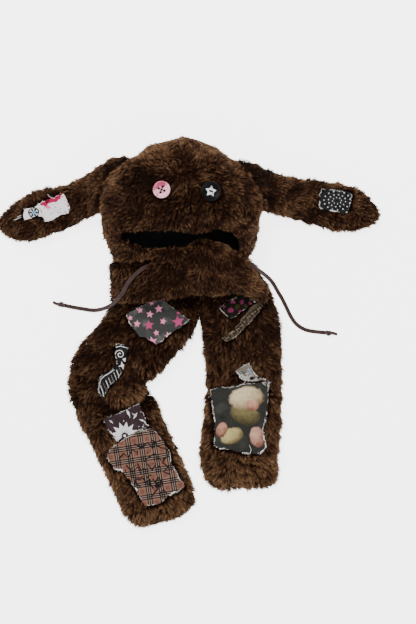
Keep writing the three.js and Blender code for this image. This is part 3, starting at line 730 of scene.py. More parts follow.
def spline(points: Array, step: float) -> Array:
    """A smooth line through points, in even steps.

    Args:
        points: The points that it passes through.
        step: The distance between the new points.

    Returns:
        The new points.
    """
    padded = np.concatenate([[2 * points[0] - points[1]], points, [2 * points[-1] - points[-2]]])
    share = np.linspace(0, 1, SPLINE_STEPS, endpoint=False)[:, None]
    parts = []
    for a, b, c, d in zip(padded, padded[1:], padded[2:], padded[3:]):
        cubic = share * (2 * a - 5 * b + 4 * c - d + share * (3 * (b - c) + d - a))
        parts.append(b + 0.5 * share * (c - a + cubic))
    line = np.concatenate([*parts, points[-1:]])
    lengths = np.r_[0, np.cumsum(np.linalg.norm(np.diff(line, axis=0), axis=1))]
    places = np.linspace(0, lengths[-1], max(2, round(lengths[-1] / step) + 1))
    return np.stack([np.interp(places, lengths, line[:, k]) for k in range(line.shape[1])], 1)


def inside(outline: Array, points: Array) -> Array:
    """Whether points lie inside an outline, seen from above.

    Args:
        outline: The outline's corners.
        points: The points, of which x and y are read.

    Returns:
        True for each point inside.
    """
    found = np.zeros(len(points), bool)
    x, y = points[:, 0], points[:, 1]
    for (ax, ay), (bx, by) in zip(outline, np.roll(outline, -1, 0)):
        crosses = (ay > y) != (by > y)
        if ay != by:
            found ^= crosses & (x < (bx - ax) * (y - ay) / (by - ay) + ax)
    return found


def turned_left(outline: Array) -> Array:
    """An outline with its corners in the order that turns left.

    Args:
        outline: The corners in either order.

    Returns:
        The corners, reversed if they turned right.
    """
    following = np.roll(outline, -1, 0)
    turns = (outline[:, 0] * following[:, 1] - outline[:, 1] * following[:, 0]).sum()
    return outline if turns > 0 else outline[::-1]


def from_line(points: Array, line: Array) -> Array:
    """The distance of points from a line, seen from above.

    Args:
        points: The points.
        line: The line's points.

    Returns:
        One distance a point.
    """
    best = np.full(len(points), 1e9)
    for a, b in zip(line[:-1, :2], line[1:, :2]):
        way = b - a
        share = np.clip((points[:, :2] - a) @ way / max(way @ way, 1e-12), 0, 1)
        best = np.minimum(best, np.linalg.norm(points[:, :2] - a - share[:, None] * way, axis=1))
    return best


def star_outline(
    x: float, y: float, radius: float, turn: float = 0.0, waist: float = 0.45, points: int = 5
) -> Array:
    """The outline of a star.

    Args:
        x: Its middle across.
        y: Its middle up.
        radius: From its middle to a point.
        turn: Its turn in degrees.
        waist: Its inner corners' distance as a share of the radius.
        points: How many points it has.

    Returns:
        The corners.
    """
    steps = np.arange(2 * points)
    angles = math.pi / 2 + math.radians(turn) + steps * math.pi / points
    reach = np.where(steps % 2, radius * waist, radius)
    return np.stack([x + reach * np.cos(angles), y + reach * np.sin(angles)], 1)


# Fur


@dataclass(frozen=True)
class Crease:
    """A fold across the fur, as seen from above, or a ridge where its depth is below zero; strands near it get
    painted shade in a fold and a painted highlight on a ridge.
    """

    start: Point2
    end: Point2
    depth: float = 0.006
    reach: float = 0.009

    def line(self) -> Array:
        """Its two ends."""
        return np.array([self.start, self.end])

    def near(self, points: Array) -> Array:
        """How near points are to the fold.

        Args:
            points: The points.

        Returns:
            1 on the fold, and less with distance.
        """
        return np.exp(-((from_line(points, self.line()) / self.reach) ** 2))

    def towards(self, points: Array) -> Array:
        """The way from points to the fold.

        Args:
            points: The points.

        Returns:
            Level vectors of length one.
        """
        a, b = self.line()
        share = np.clip((points[:, :2] - a) @ (b - a) / ((b - a) @ (b - a)), 0, 1)
        foot = a + share[:, None] * (b - a)
        return unit(np.c_[foot - points[:, :2], np.zeros(len(points))])


@dataclass(frozen=True)
class Trim:
    """A line along which the fur is short, as seen from above."""

    line: tuple[Point2, ...]
    reach: float = 0.015
    cut: float = 0.5

    def kept(self, points: Array) -> Array:
        """The share of their length that strands keep.

        Args:
            points: Their roots.

        Returns:
            One share a point.
        """
        return 1 - self.cut * np.exp(-((from_line(points, np.array(self.line)) / self.reach) ** 2))


class Lie(Enum):
    """Which way the fur of a piece lies."""

    FROM_CROWN = "from a whorl on the forehead"
    DOWN = "down the piece and out to its sides"
    LEFT = "to the left and out to the sides"
    RIGHT = "to the right and out to the sides"
    OVER = "down over a rounded band"


@dataclass(frozen=True)
class Grooming:
    """How all the fur is combed: lengths in metres, and shares or spreads without a unit."""

    swirl: float = 0.5
    swirl_length: float = 0.055
    droop: float = 0.5
    fold_pull: float = 1.4
    ridge_push: float = 0.25
    stand: float = 0.8
    lean: float = 1.25
    lean_change: float = 0.25
    lean_length: float = 0.04
    calm_edge: float = 0.75
    tuft_swirl: float = 0.30
    tuft_tone: Point2 = (1.3, 1.9)
    tuft_lengths: Point2 = (0.82, 1.12)
    tuft_rim: float = 92.0
    scatter: float = 0.16
    lengths: Point2 = (0.75, 1.08)
    rim_length: float = 0.74
    core_length: float = 0.34
    pressed: float = 0.6
    gather: Point2 = (0.28, 0.66)
    knee: float = 0.42
    bow: float = 0.14
    twist: float = 0.25
    widths: Point2 = (0.6, 1.25)
    edge_width: float = 0.35
    lowest: Point2 = (0.0004, 0.0016)


@dataclass(frozen=True)
class Toning:
    """How pale a strand is, from 0 to 1, by its tuft, its place in it and its place on the piece, with painted
    shade at tuft rims and in folds and painted highlights on tuft cores, ridges and upright sides.
    """

    tuft: float = 0.36
    # Painted shade and light: strands at a tuft's rim are darker and those at its core paler, as if the tufts
    # shaded each other.
    tuft_rim: float = 0.45
    tuft_core: float = 0.75
    core: float = 0.17
    single: float = 0.28
    cloud: float = 0.09
    cloud_length: float = 0.03
    # Painted highlight: strands on upright sides are paler, for the light along the outline.
    edge: float = 0.34
    near_end: float = 0.25
    # Painted shade in folds, and a painted highlight on ridges, where the shade is below zero.
    fold: float = 0.55
    ridge: float = 0.2
    least: float = 0.04
    most: float = 0.96


def gathered(roots: Array, heads: Array, rim: float) -> tuple[Array, Array]:
    """Gives every strand to its nearest tuft.

    Args:
        roots: Where the strands start.
        heads: The strand in the middle of each tuft.
        rim: The percentage of strands that lie within a tuft's rim.

    Returns:
        Each strand's own tuft, and how near its middle the strand is, from 0 to 1.
    """
    tree = KDTree(len(heads))
    for number, head in enumerate(heads):
        tree.insert(roots[head], number)
    tree.balance()
    found = [tree.find(root)[1:] for root in roots]
    gaps = np.array([gap for _, gap in found])
    return np.array([number for number, _ in found]), np.clip(1 - gaps / np.percentile(gaps, rim), 0, 1)


@dataclass
class FurPiece:
    """A furry piece: a soft skin, set in under the pile, and the strands that stand on it."""

    node: str
    lie: Lie
    strands: int
    seed: int
    creases: tuple[Crease, ...] = ()
    hollow: Point2 | None = None
    pile: float = 0.0125
    paling: float = 0.0
    tuft: int = 13
    trims: tuple[Trim, ...] = ()
    whorl: Point2 = (0.004, 0.262)
    width: float = 0.0011
    inset: float = 0.0045
    lump: float = 0.0012
    lump_length: float = 0.045
    underside: float = 0.2
    contact: float = 0.014
    fill: float = 0.5
    voxel: float = 0.004
    smoothing: int = 9
    lowest: float = 0.0006
    grooming: Grooming = Grooming()
    toning: Toning = Toning()

    def build(self, finish: FurFinish, covers: Sequence[Cover], others: Sequence[BVHTree]) -> None:
        """Builds the piece.

        Args:
            finish: The fur's finish.
            covers: What lies on the fur, each as a test of which points it hides.
            others: The furry pieces beside it.
        """
        skin = self.skin(finish, others)
        pile = self.pile_on(skin, finish, covers)
        fitted(skin, self.node)
        fitted(pile)
        faces = len(skin.data.polygons), len(pile.data.polygons)
        LOG.info("%s: %d skin faces, %d strand faces", self.node, *faces)

    def outside(self, points: Array, normals: Array) -> Array:
        """How far a hollow piece's surface faces outward, from -1 inside to 1 outside."""
        if self.hollow is None:
            return np.ones(len(points))
        out = points - np.array([self.hollow[0], 0, self.hollow[1]])
        out[:, 1] = 0
        return (unit(out) * normals).sum(1)

    def fuller(self, normals: Array) -> Array:
        """The share of the inset that upright sides keep, so that the floor doesn't show in the fringe."""
        return 0.5 * np.clip(1 - 1.6 * np.abs(normals[:, 2]), 0, 1)

    def skin(self, finish: FurFinish, others: Sequence[BVHTree]) -> bpy.types.Object:
        """The smooth backing, set in under the pile except where it meets its neighbours.

        Args:
            finish: The fur's finish.
            others: The furry pieces beside it.

        Returns:
            The skin.
        """
        rough = copy_of(self.node)
        remesh = rough.modifiers.new("even", "REMESH")
        remesh.mode, remesh.voxel_size = "VOXEL", self.voxel
        smooth = rough.modifiers.new("soft", "SMOOTH")
        smooth.factor, smooth.iterations = 0.5, self.smoothing
        points, triangles, normals = arrays_of(applied(rough))
        outer = np.clip(self.outside(points, normals) * 2 + 0.6, 0.1, 1)
        gaps = np.array([
            min(other.find_nearest(Vector(point), self.contact)[3] or self.contact for other in others)
            for point in points])
        outer *= np.clip(gaps / self.contact, 0.05, 1)
        lump = self.lump * waves(points, self.lump_length, self.seed)
        points -= normals * (self.inset * outer * (1 - self.fuller(normals)) + lump - self.lump)[:, None]
        facing = np.clip(normals[:, 2] + 0.2, 0, 1)
        for crease in self.creases:
            points[:, 2] -= crease.depth * crease.near(points) * facing
        points[:, 2] = np.maximum(points[:, 2], self.lowest)
        return add_object(f"{self.node}_skin", mesh_of(points, triangles), finish.skin())

    def flow(self, points: Array) -> Array:
        """The way the fur lies at points, before its swirls.

        Args:
            points: The points.

        Returns:
            Level vectors of about length one.
        """
        level = np.zeros_like(points)
        if self.lie is Lie.FROM_CROWN:
            level[:, :2] = points[:, :2] - np.array(self.whorl)
            level = unit(level) + np.array([0, -0.25, 0])
            level[:, 1] = np.minimum(level[:, 1], 0.25)
            return level
        if self.lie is Lie.OVER:
            middle = (points[:, 0].min() + points[:, 0].max()) / 2
            level[:, 0] = 0.5 * (points[:, 0] - middle) / (np.ptp(points[:, 0]) / 2)
            level[:, 1] = -1
            return level
        run, way = self.run()
        cells = 29
        bins = np.linspace(points[:, run].min(), points[:, run].max(), cells + 1)
        place = np.clip(np.digitize(points[:, run], bins) - 1, 0, cells - 1)
        middles = np.array([
            points[place == k, 1 - run].mean() if (place == k).any() else np.nan for k in range(cells)])
        known = ~np.isnan(middles)
        middles = np.interp(np.arange(cells), np.flatnonzero(known), middles[known])
        steps = (bins[:-1] + bins[1:]) / 2
        slope = np.interp(points[:, run], steps, np.gradient(middles, steps))
        side = points[:, 1 - run] - np.interp(points[:, run], steps, middles)
        level[:, run] = way
        level[:, 1 - run] = way * slope + 1.1 * side / (np.abs(side).max() + 1e-6)
        return level

    def run(self) -> tuple[int, int]:
        """The axis that the piece runs along from its root, and its way on it."""
        return {Lie.DOWN: (1, -1), Lie.LEFT: (0, -1), Lie.RIGHT: (0, 1)}.get(self.lie, (1, 1))

    def far(self, points: Array) -> Array:
        """How far along the piece points are, from 0 near its root to 1 at its free end."""
        axis, way = self.run()
        along = way * points[:, axis]
        return ((along - along.min()) / np.ptp(along)) ** 1.5

    def pile_on(self, skin: bpy.types.Object, finish: FurFinish, covers: Sequence[Cover]) -> bpy.types.Object:
        """The strands, spread evenly over the skin where nothing lies on it.

        Args:
            skin: What they stand on.
            finish: The fur's finish.
            covers: What lies on the fur.

        Returns:
            The strands as one object.
        """
        draw = np.random.default_rng(self.seed)
        points, triangles, normals = arrays_of(skin.data)
        corners = points[triangles]
        facing = unit(normals[triangles].mean(1))
        middles = corners.mean(1)
        areas = np.linalg.norm(np.cross(corners[:, 1] - corners[:, 0], corners[:, 2] - corners[:, 0]), axis=1)
        weights = areas * np.where(facing[:, 2] < -0.55, self.underside, 1.0)
        weights *= self.outside(middles, facing) > -0.25
        for cover in covers:
            weights *= ~(cover(middles) & (facing[:, 2] > 0.2))
        total = np.cumsum(weights)
        count = self.strands
        places = (np.arange(count) + draw.random(count)) / count * total[-1]
        chosen = np.minimum(np.searchsorted(total, places), len(triangles) - 1)
        share = draw.random((count, 2))
        share = np.where(share.sum(1, keepdims=True) > 1, 1 - share, share)
        share = np.c_[1 - share.sum(1), share]
        roots = (corners[chosen] * share[..., None]).sum(1)
        stand = unit((normals[triangles[chosen]] * share[..., None]).sum(1))
        keep = np.ones(count, bool)
        for cover in covers:
            keep &= ~(cover(roots) & (stand[:, 2] > 0.2))
        roots, stand = roots[keep], stand[keep]
        roots -= stand * (self.inset * self.fuller(stand))[:, None]
        blades, tone = self.blades(roots, stand, draw, covers)
        across, along = np.array([0.0, -0.015, 0.015, 0.0]), np.array([0.01, 0.45, 0.45, 0.99])
        places = np.clip(tone[:, None] + across, 0.01, 0.99)
        places = np.stack([places, np.broadcast_to(along, places.shape)], -1)
        faces = np.arange(len(roots))[:, None, None] * 4 + np.array([[0, 2, 1], [1, 2, 3]])
        mesh = mesh_of(blades.reshape(-1, 3), faces.reshape(-1, 3), True, places.reshape(-1, 2))
        return add_object(f"{self.node}_fur", mesh, finish.strands())

    def combed(self, roots: Array, stand: Array) -> tuple[Array, Array]:
        """The way the strands are combed.

        Args:
            roots: Where the strands start.
            stand: The skin's normal at each.

        Returns:
            Vectors of length one along the skin, and how deep in a fold each strand is.
        """
        groom = self.grooming
        swirl = np.stack([waves(roots, groom.swirl_length, self.seed + k) for k in (11, 12, 13)], 1)
        way = self.flow(roots) + groom.swirl * swirl - groom.droop * UP
        shade = np.zeros(len(roots))
        for crease in self.creases:
            near = crease.near(roots) * np.sign(crease.depth)
            way += groom.fold_pull * np.maximum(near, -groom.ridge_push)[:, None] * crease.towards(roots)
            shade += near
        way -= (way * stand).sum(1)[:, None] * stand
        return unit(way), shade

    def blades(
        self, roots: Array, stand: Array, draw: np.random.Generator, covers: Sequence[Cover]
    ) -> tuple[Array, Array]:
        """A curved blade at each root, gathered into tufts.

        Args:
            roots: Where the strands start.
            stand: The skin's normal at each.
            draw: The seeded source of scatter.
            covers: What lies on the fur.

        Returns:
            The four corners of each blade, and its tone from 0 for dark to 1 for pale.
        """
        groom, count = self.grooming, len(roots)
        way, shade = self.combed(roots, stand)
        heads = draw.permutation(count)[: count // self.tuft + 1]
        own, core = gathered(roots, heads, groom.tuft_rim)
        swirl = draw.normal(0, groom.tuft_swirl, (len(heads), 3))
        tuft_tone = draw.beta(*groom.tuft_tone, len(heads))
        tuft_length = draw.uniform(*groom.tuft_lengths, len(heads))
        lean = groom.lean + groom.lean_change * waves(roots, groom.lean_length, self.seed + 21)
        edge = 1 - np.abs(stand[:, 2])
        calm = 1 - groom.calm_edge * edge
        ways = stand * groom.stand + way * lean[:, None] + swirl[own] * calm[:, None]
        ways = unit(ways + draw.normal(0, groom.scatter, (count, 3)))
        lengths = self.pile * tuft_length[own] ** calm * draw.uniform(*groom.lengths, count)
        lengths *= groom.rim_length + groom.core_length * core
        for trim in self.trims:
            lengths *= trim.kept(roots)
        tips = roots + ways * lengths[:, None]
        over = np.zeros(count, bool)
        for cover in covers:
            over |= cover(tips) & (stand[:, 2] > 0)
        lengths *= np.where(over, groom.pressed, 1.0)
        tips = roots + ways * lengths[:, None]
        gather = (draw.uniform(*groom.gather, count) * calm)[:, None]
        tips += (tips[heads][own] - tips) * gather
        knees = roots + (tips - roots) * groom.knee + stand * (lengths * groom.bow)[:, None]
        side = unit(np.cross(tips - roots, stand) + draw.normal(0, groom.twist, (count, 3)))
        half = self.width * draw.uniform(*groom.widths, count) * (1 + groom.edge_width * edge) / 2
        side *= (half * 1)[:, None]
        blades = np.stack([roots, knees - side, knees + side, tips], 1)
        blades[..., 2] = np.maximum(blades[..., 2], draw.uniform(*groom.lowest, count)[:, None])
        return blades, self.tones(roots, edge, shade, tuft_tone[own], core, draw)

    def tones(
        self, roots: Array, edge: Array, shade: Array, tuft: Array, core: Array, draw: np.random.Generator
    ) -> Array:
        """How pale each strand is, painted shade and painted highlights included.

        Args:
            roots: Where the strands start.
            edge: 1 where the skin stands upright, 0 where it lies level.
            shade: How deep in a fold each strand is.
            tuft: The paleness of each strand's tuft.
            core: How near its tuft's middle each strand is.
            draw: The seeded source of scatter.

        Returns:
            One tone a strand, from 0 for dark to 1 for pale.
        """
        tone = self.toning
        # Random paleness by tuft, with painted shade at tuft rims and painted light on tuft cores.
        pale = tone.tuft * tuft * (tone.tuft_rim + tone.tuft_core * core) + tone.core * core
        # Random paleness of single strands, and a painted highlight on upright sides.
        pale += tone.single * draw.random(len(roots)) + tone.edge * edge
        pale += tone.cloud * waves(roots, tone.cloud_length, self.seed + 31)
        # Paler toward the free end, painted shade in folds and a painted highlight on ridges.
        pale += self.paling * (self.far(roots) - tone.near_end) - tone.fold * np.clip(shade, -tone.ridge, 1)
        return np.clip(pale, tone.least, tone.most)


# Lining


@dataclass
class Lining:
    """The thin black lining inside the hood, a little slack."""

    node: str = "hood_lining"
    slack: float = 0.0009
    slack_length: float = 0.03
    seed: int = 5
    flat: Point2 = (0.40, 0.30)

    def build(self, finish: LiningFinish) -> None:
        """Builds the lining.

        Args:
            finish: Its finish.
        """
        rough = copy_of(self.node)
        finer = rough.modifiers.new("finer", "SUBSURF")
        finer.subdivision_type, finer.levels, finer.render_levels = "SIMPLE", 2, 2
        points, triangles, _ = arrays_of(applied(rough))
        out = (points - points.mean(0)) * np.array([1, 0, 1])
        points -= unit(out) * (self.slack * (1 + waves(points, self.slack_length, self.seed)))[:, None]
        lining = add_object("lining_cloth", mesh_of(points, triangles), finish.material())
        fitted(lining, self.node)
        LOG.info("lining: %d faces", len(lining.data.polygons))


# Buttons


def onto_seat(thing: bpy.types.Object, seat: Seat) -> None:
    """Moves a mesh from its own axes onto a button's seat.

    Args:
        thing: The piece.
        seat: The seat's middle and ways.
    """
    points, _, _ = arrays_of(thing.data)
    centre, across, up, normal = (np.array(v) for v in seat)
    moved = centre + points[:, :1] * across + points[:, 1:2] * up + points[:, 2:] * normal
    thing.data.vertices.foreach_set("co", moved.astype(np.float32).ravel())
    thing.data.update()


@dataclass
class Button:
    """A round sewn button with a rim and a dished face, set on the fur as its CAD node is."""

    node: str
    slot: str
    finish: ButtonFinish
    diameter: float
    thickness: float = 0.005
    holes: tuple[Point2, ...] = ()
    hole_radius: float = 0.0018
    steps: int = 72
    profile: tuple[Point2, ...] = (
        (0.0, 0.0), (0.72, 0.0), (0.86, 0.06), (0.95, 0.20), (0.995, 0.42), (1.0, 0.62), (0.975, 0.84),
        (0.93, 0.97), (0.88, 1.0), (0.82, 0.985), (0.77, 0.90), (0.72, 0.74), (0.66, 0.64), (0.55, 0.60),
        (0.0, 0.60),
    )

    def seat(self) -> Seat:
        """Where the button sits.

        Returns:
            The middle of its back, its two ways across and its normal.
        """
        points, triangles, _ = arrays_of(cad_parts[self.node].data)
        corners = points[triangles]
        cross = np.cross(corners[:, 1] - corners[:, 0], corners[:, 2] - corners[:, 0])
        back = cross[np.argmax(np.linalg.norm(cross, axis=1) * (cross[:, 2] < 0))]
        flat = cross[(unit(cross) @ unit(back)) > 0.999]
        normal = Vector(-unit(flat.sum(0)))
        on_back = points @ np.array(normal)
        base = points[on_back < on_back.min() + 0.0002]
        across = Vector((1, 0, 0))
        across = (across - across.dot(normal) * normal).normalized()
        return Vector(base.mean(0)), across, normal.cross(across), normal

    def build(self) -> Seat:
        """Builds the button.

        Returns:
            Its seat.
        """
        seat = self.seat()
        rings = [
            np.c_[oval(self.steps, out * self.diameter / 2), np.full(self.steps, rise * self.thickness)]
            for out, rise in self.profile[1:-1]]
        middles = [[0, 0, 0], [0, 0, self.profile[-2][1] * self.thickness]]
        mesh = mesh_of(np.concatenate([*rings, middles]), loft_faces(len(rings), self.steps))
        button = add_object(f"{self.node}_turned", mesh, self.finish.material(seat[0]))
        if self.holes:
            button = self.drilled(button)
        onto_seat(button, seat)
        fitted(button, self.node)
        return seat

    def drilled(self, button: bpy.types.Object) -> bpy.types.Object:
        """Cuts the sewing holes.

        Args:
            button: The whole button.

        Returns:
            The button with its holes.
        """
        cutters = [
            tube_mesh(np.array([[x, y, rise] for rise in (-0.002, 0.003, 0.009)]), np.array([1.0, 0, 0]),
                      oval(24, self.hole_radius))
            for x, y in self.holes]
        cutter = add_object("cutter", mesh_of(*joined(cutters)))
        cut = button.modifiers.new("holes", "BOOLEAN")
        cut.operation, cut.object, cut.solver = "DIFFERENCE", cutter, "EXACT"
        material, name = button.data.materials[0], button.name
        mesh = applied(button)
        bpy.data.objects.remove(cutter)
        return add_object(name, mesh, material)

    def thread(
        self, seat: Seat, runs: Sequence[tuple[Point2, Point2]], finish: ThreadFinish, name: str,
        lift: float = 0.0, radius: float = 0.00042,
    ) -> None:
        """Makes the stitches that hold the button.

        Args:
            seat: The button's seat.
            runs: The two ends of each stitch.
            finish: The thread's finish.
            name: The piece's name.
            lift: How far above the dished face the stitches lie.
            radius: The thread's radius.
        """
        dish = self.thickness * self.profile[-1][1] + lift
        share = np.linspace(0, 1, 9)
        arch = 0.0009 * np.sin(share * math.pi) - 0.0010 * (np.abs(share - 0.5) > 0.45)
        parts = []
        for number, run in enumerate(runs):
            start, end = np.array(run)
            way = unit(end - start)
            for side in (-0.8 * radius, 0.8 * radius):
                flat = start + (end - start) * share[:, None] + np.array([-way[1], way[0]]) * side
                parts.append(tube_mesh(np.c_[flat, dish + arch + 0.0002 * number], UP, oval(8, radius)))
        made = add_object(name, mesh_of(*joined(parts)), finish.material())
        onto_seat(made, seat)
        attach(made, BODY)


@dataclass
class Eyes:
    """The two odd button eyes: a pink one with four holes, and a black one with a pale star."""

    pink: float = 0.029
    black: float = 0.033
    star: float = 0.0205
    star_thickness: float = 0.0014
    spread: float = 0.0051
    turn: float = 68.0

    def build(self) -> None:
        """Builds both buttons, the star and their threads."""
        turns = [math.radians(self.turn + 90 * number) for number in range(4)]
        holes = tuple((self.spread * math.cos(turn), self.spread * math.sin(turn)) for turn in turns)
        plastic = ButtonFinish(
            "mottled_pink_plastic", tint(240, 176, 192), tint(168, 58, 92), 0.009, 0.25, lean=9.0)
        pink = Button("button_pink", "pink_plastic", plastic, self.pink, holes=holes, hole_radius=0.0021)
        stitches = ((holes[0], holes[2]), (holes[1], holes[3]))
        pink.thread(pink.build(), stitches, DARK_THREAD, "pink_button_thread")
        gloss = ButtonFinish("black_gloss_plastic", tint(4, 4, 5), tint(9, 9, 10), 0.02, 0.35, 0.02, 0.10)
        black = Button("button_black", "black_plastic", gloss, self.black)
        seat = black.build()
        self.inlay(black, seat)
        stitch = ((-0.0029, 0.0009), (0.0029, -0.0009))
        lift = self.star_thickness + 0.0014
        black.thread(seat, (stitch,), BLACK_THREAD, "star_thread", lift, radius=0.0008)
        LOG.info("buttons: pink, black, star and threads")

    def inlay(self, black: Button, seat: Seat) -> None:
        """The pearly star in the black button.

        Args:
            black: The button that holds it.
            seat: The button's seat.
        """
        dish = black.thickness * black.profile[-1][1] + 0.0003
        rings = []
        for rise, size in ((0.0, 1.0), (0.14, 0.98), (0.7, 0.96), (1.0, 0.84)):
            outline = star_outline(0, 0, self.star / 2 * size, -8, 0.52)
            fine = np.concatenate([
                a + (b - a) * np.linspace(0, 1, 6, endpoint=False)[:, None]
                for a, b in zip(outline, np.roll(outline, -1, 0))])
            blurred = (np.roll(fine, 1, 0) + 2 * fine + np.roll(fine, -1, 0)) / 4
            rings.append(np.c_[blurred, np.full(len(fine), dish + rise * self.star_thickness)])
        points = np.concatenate([*rings, [[0, 0, dish], [0, 0, dish + self.star_thickness * 1.12]]])
        pearl = ButtonFinish("pearl_plastic", tint(240, 238, 242), tint(172, 168, 178), 0.009, 0.18)
        mesh = mesh_of(points, loft_faces(len(rings), len(rings[0])))
        star = add_object("star_pearl", mesh, pearl.material(seat[0]))
        onto_seat(star, seat)
        fitted(star, "star_inlay")


# Drawcord


@dataclass
class Lace:
    """A free end of the flat drawcord, with the knot and the frayed tip on its end."""

    side: str
    route: tuple[tuple[float, float, float], ...]
    length: float
    width: float = 0.007
    thickness: float = 0.0024
    knot_length: float = 0.014
    knot_width: float = 0.010
    knot_height: float = 0.008
    tip_length: float = 0.0115

    def path(self) -> Array:
        """The lace's middle line in the part's frame."""
        return spline(np.array(self.route) + np.array(SEAM_SHIFT), 0.0012)

    def build(self, finish: LaceFinish) -> Array:
        """Builds the lace and its knot.

        Args:
            finish: The lace's finish.

        Returns:
            The lace's middle line.
        """
        path = self.path()
        material = finish.material()
        across = unit(np.cross(UP, unit(np.gradient(path, axis=0))))
        mesh = mesh_of(*tube_mesh(path, across, self.sections(len(path))))
        lace = add_object(f"lace_{self.side}", mesh, material)
        knot = self.knot(path, material)
        fitted(lace, f"cord_{self.side}")
        fitted(knot, f"knot_{self.side}")
        LOG.info("lace %s: %.1f mm", self.side, np.linalg.norm(np.diff(path, axis=0), axis=1).sum() * 1000)
        return path

    def sections(self, count: int) -> Array:
        """The lace's outline at each point: a flat woven tube with a groove along its middle.

        Args:
            count: How many points the path has.

        Returns:
            The outlines.
        """
        angles = np.linspace(0, TURN, 28, endpoint=False)
        x = np.sign(np.cos(angles)) * np.abs(np.cos(angles)) ** 0.7 * self.width / 2
        y = np.sign(np.sin(angles)) * np.abs(np.sin(angles)) ** 0.8 * self.thickness / 2
        y *= 1 - 0.38 * np.exp(-((x / 0.0010) ** 2))
        ripple = 1 + 0.035 * np.sin(np.arange(count) * 1.7)[:, None]
        return np.stack([x * ripple, y * np.ones((count, 1))], -1)

    def knot(self, path: Array, material: bpy.types.Material) -> bpy.types.Object:
        """An overhand knot in the lace, and the short tip past it.

        Args:
            path: The lace's middle line.
            material: The lace's material.

        Returns:
            The knot.
        """
        way = unit((path[-1] - path[-4]) * np.array([1, 1, 0]))
        side = np.array([-way[1], way[0], 0])
        middle = path[-1] + way * (self.knot_length / 2 - 0.0026)
        middle[2] = self.knot_height / 2 + 0.0002
        turn = np.linspace(0, TURN, 73)[:-1]
        along = (np.sin(turn) + 2 * np.sin(2 * turn)) / 2.9 * (self.knot_length / 2 - 0.0022)
        wide = (np.cos(turn) - 2 * np.cos(2 * turn)) / 3.0 * (self.knot_width / 2 - 0.0020)
        high = -np.sin(3 * turn) * (self.knot_height / 2 - 0.0019)
        loop = np.stack([along, wide, high], 1)
        closed = np.concatenate([loop, loop[:1]])
        ways = unit(np.gradient(closed, axis=0))
        knot = tube_mesh(closed, np.cross(ways, unit(closed + 1e-6)), oval(12, 0.0027, 0.0021))
        steps = np.linspace(0, 1, 14)
        start = self.knot_length / 2 - 0.003
        tip_path = np.stack([
            start + steps * self.tip_length, 0.0006 * np.sin(steps * 5),
            self.thickness * 0.42 - self.knot_height / 2 + 0.0012 * (1 - steps) ** 2], 1)
        taper = np.stack([0.92 - 0.14 * steps, np.ones(len(steps))], 1)[:, None]
        tip_sections = oval(12, self.width * 0.44, self.thickness * 0.44) * taper
        points, triangles = joined([knot, tube_mesh(tip_path, np.array([0.0, 1.0, 0.0]), tip_sections)])
        moved = middle + points[:, :1] * way + points[:, 1:2] * side + points[:, 2:] * UP
        moved[:, 2] = np.maximum(moved[:, 2], 0.0002)
        return add_object(f"lace_knot_{self.side}", mesh_of(moved, triangles), material)


@dataclass
class Drawcord:
    """Both free ends of the drawcord, on their routes from the neck seam's middle."""

    left: Lace = field(default_factory=lambda: Lace("left", (
        (-0.0544, -0.0125, 0.0560), (-0.0605, -0.0152, 0.0596), (-0.0663, -0.0188, 0.0626),
        (-0.0782, -0.0289, 0.0632), (-0.0884, -0.0408, 0.0588), (-0.0962, -0.0544, 0.0534),
        (-0.1044, -0.0656, 0.0454), (-0.1139, -0.0748, 0.034), (-0.1253, -0.0815, 0.021),
        (-0.1367, -0.0854, 0.011), (-0.1465, -0.087, 0.0056), (-0.156, -0.0868, 0.0032),
        (-0.1673, -0.085, 0.0022), (-0.181, -0.0828, 0.0019), (-0.1921, -0.0806, 0.0018),
        (-0.2015, -0.0784, 0.0018),
    ), 0.200))
    right: Lace = field(default_factory=lambda: Lace("right", (
        (0.118, -0.0095, 0.0403), (0.1235, -0.013, 0.039), (0.1305, -0.0185, 0.035),
        (0.1375, -0.023, 0.0285), (0.145, -0.0285, 0.0195), (0.1525, -0.035, 0.011),
        (0.1593, -0.044, 0.0056), (0.1655, -0.0546, 0.003), (0.173, -0.0672, 0.002),
        (0.1802, -0.0816, 0.0017), (0.187, -0.0959, 0.0017), (0.1945, -0.1074, 0.0017),
        (0.203, -0.1152, 0.0017), (0.2137, -0.1207, 0.0017), (0.2256, -0.1233, 0.0017),
        (0.2375, -0.1247, 0.0017), (0.2482, -0.1258, 0.0017),
    ), 0.193))

    def build(self) -> list[Array]:
        """Builds both ends.

        Returns:
            Their middle lines.
        """
        finish = LaceFinish()
        return [self.left.build(finish), self.right.build(finish)]


# Patches


def on_patch(motifs: Sequence[Motif], node: str) -> list[Motif]:
    """Places motifs given in millimetres from a patch's middle.

    Args:
        motifs: The ink and the outline of each.
        node: The patch's CAD node.

    Returns:
        The motifs in the part's frame.
    """
    middle = middle_of(node)[:2]
    return [(ink, outline * MILLIMETRE + middle) for ink, outline in motifs]


@dataclass
class HeightField:
    """The top of a solid, less how far it sinks into the pile, carried on past its edge."""

    tree: BVHTree
    sunk: float

    def at(self, places: Array) -> Array:
        """Heights over places.

        Args:
            places: Pairs of x and y.

        Returns:
            One height a place.
        """
        found = []
        down = Vector((0, 0, -1))
        for x, y in places:
            hit = self.tree.ray_cast(Vector((float(x), float(y), 1.0)), down)[0]
            if hit is None:
                hit = self.tree.find_nearest(Vector((float(x), float(y), 0.2)))[0]
            found.append(hit.z - self.sunk)
        return np.array(found)


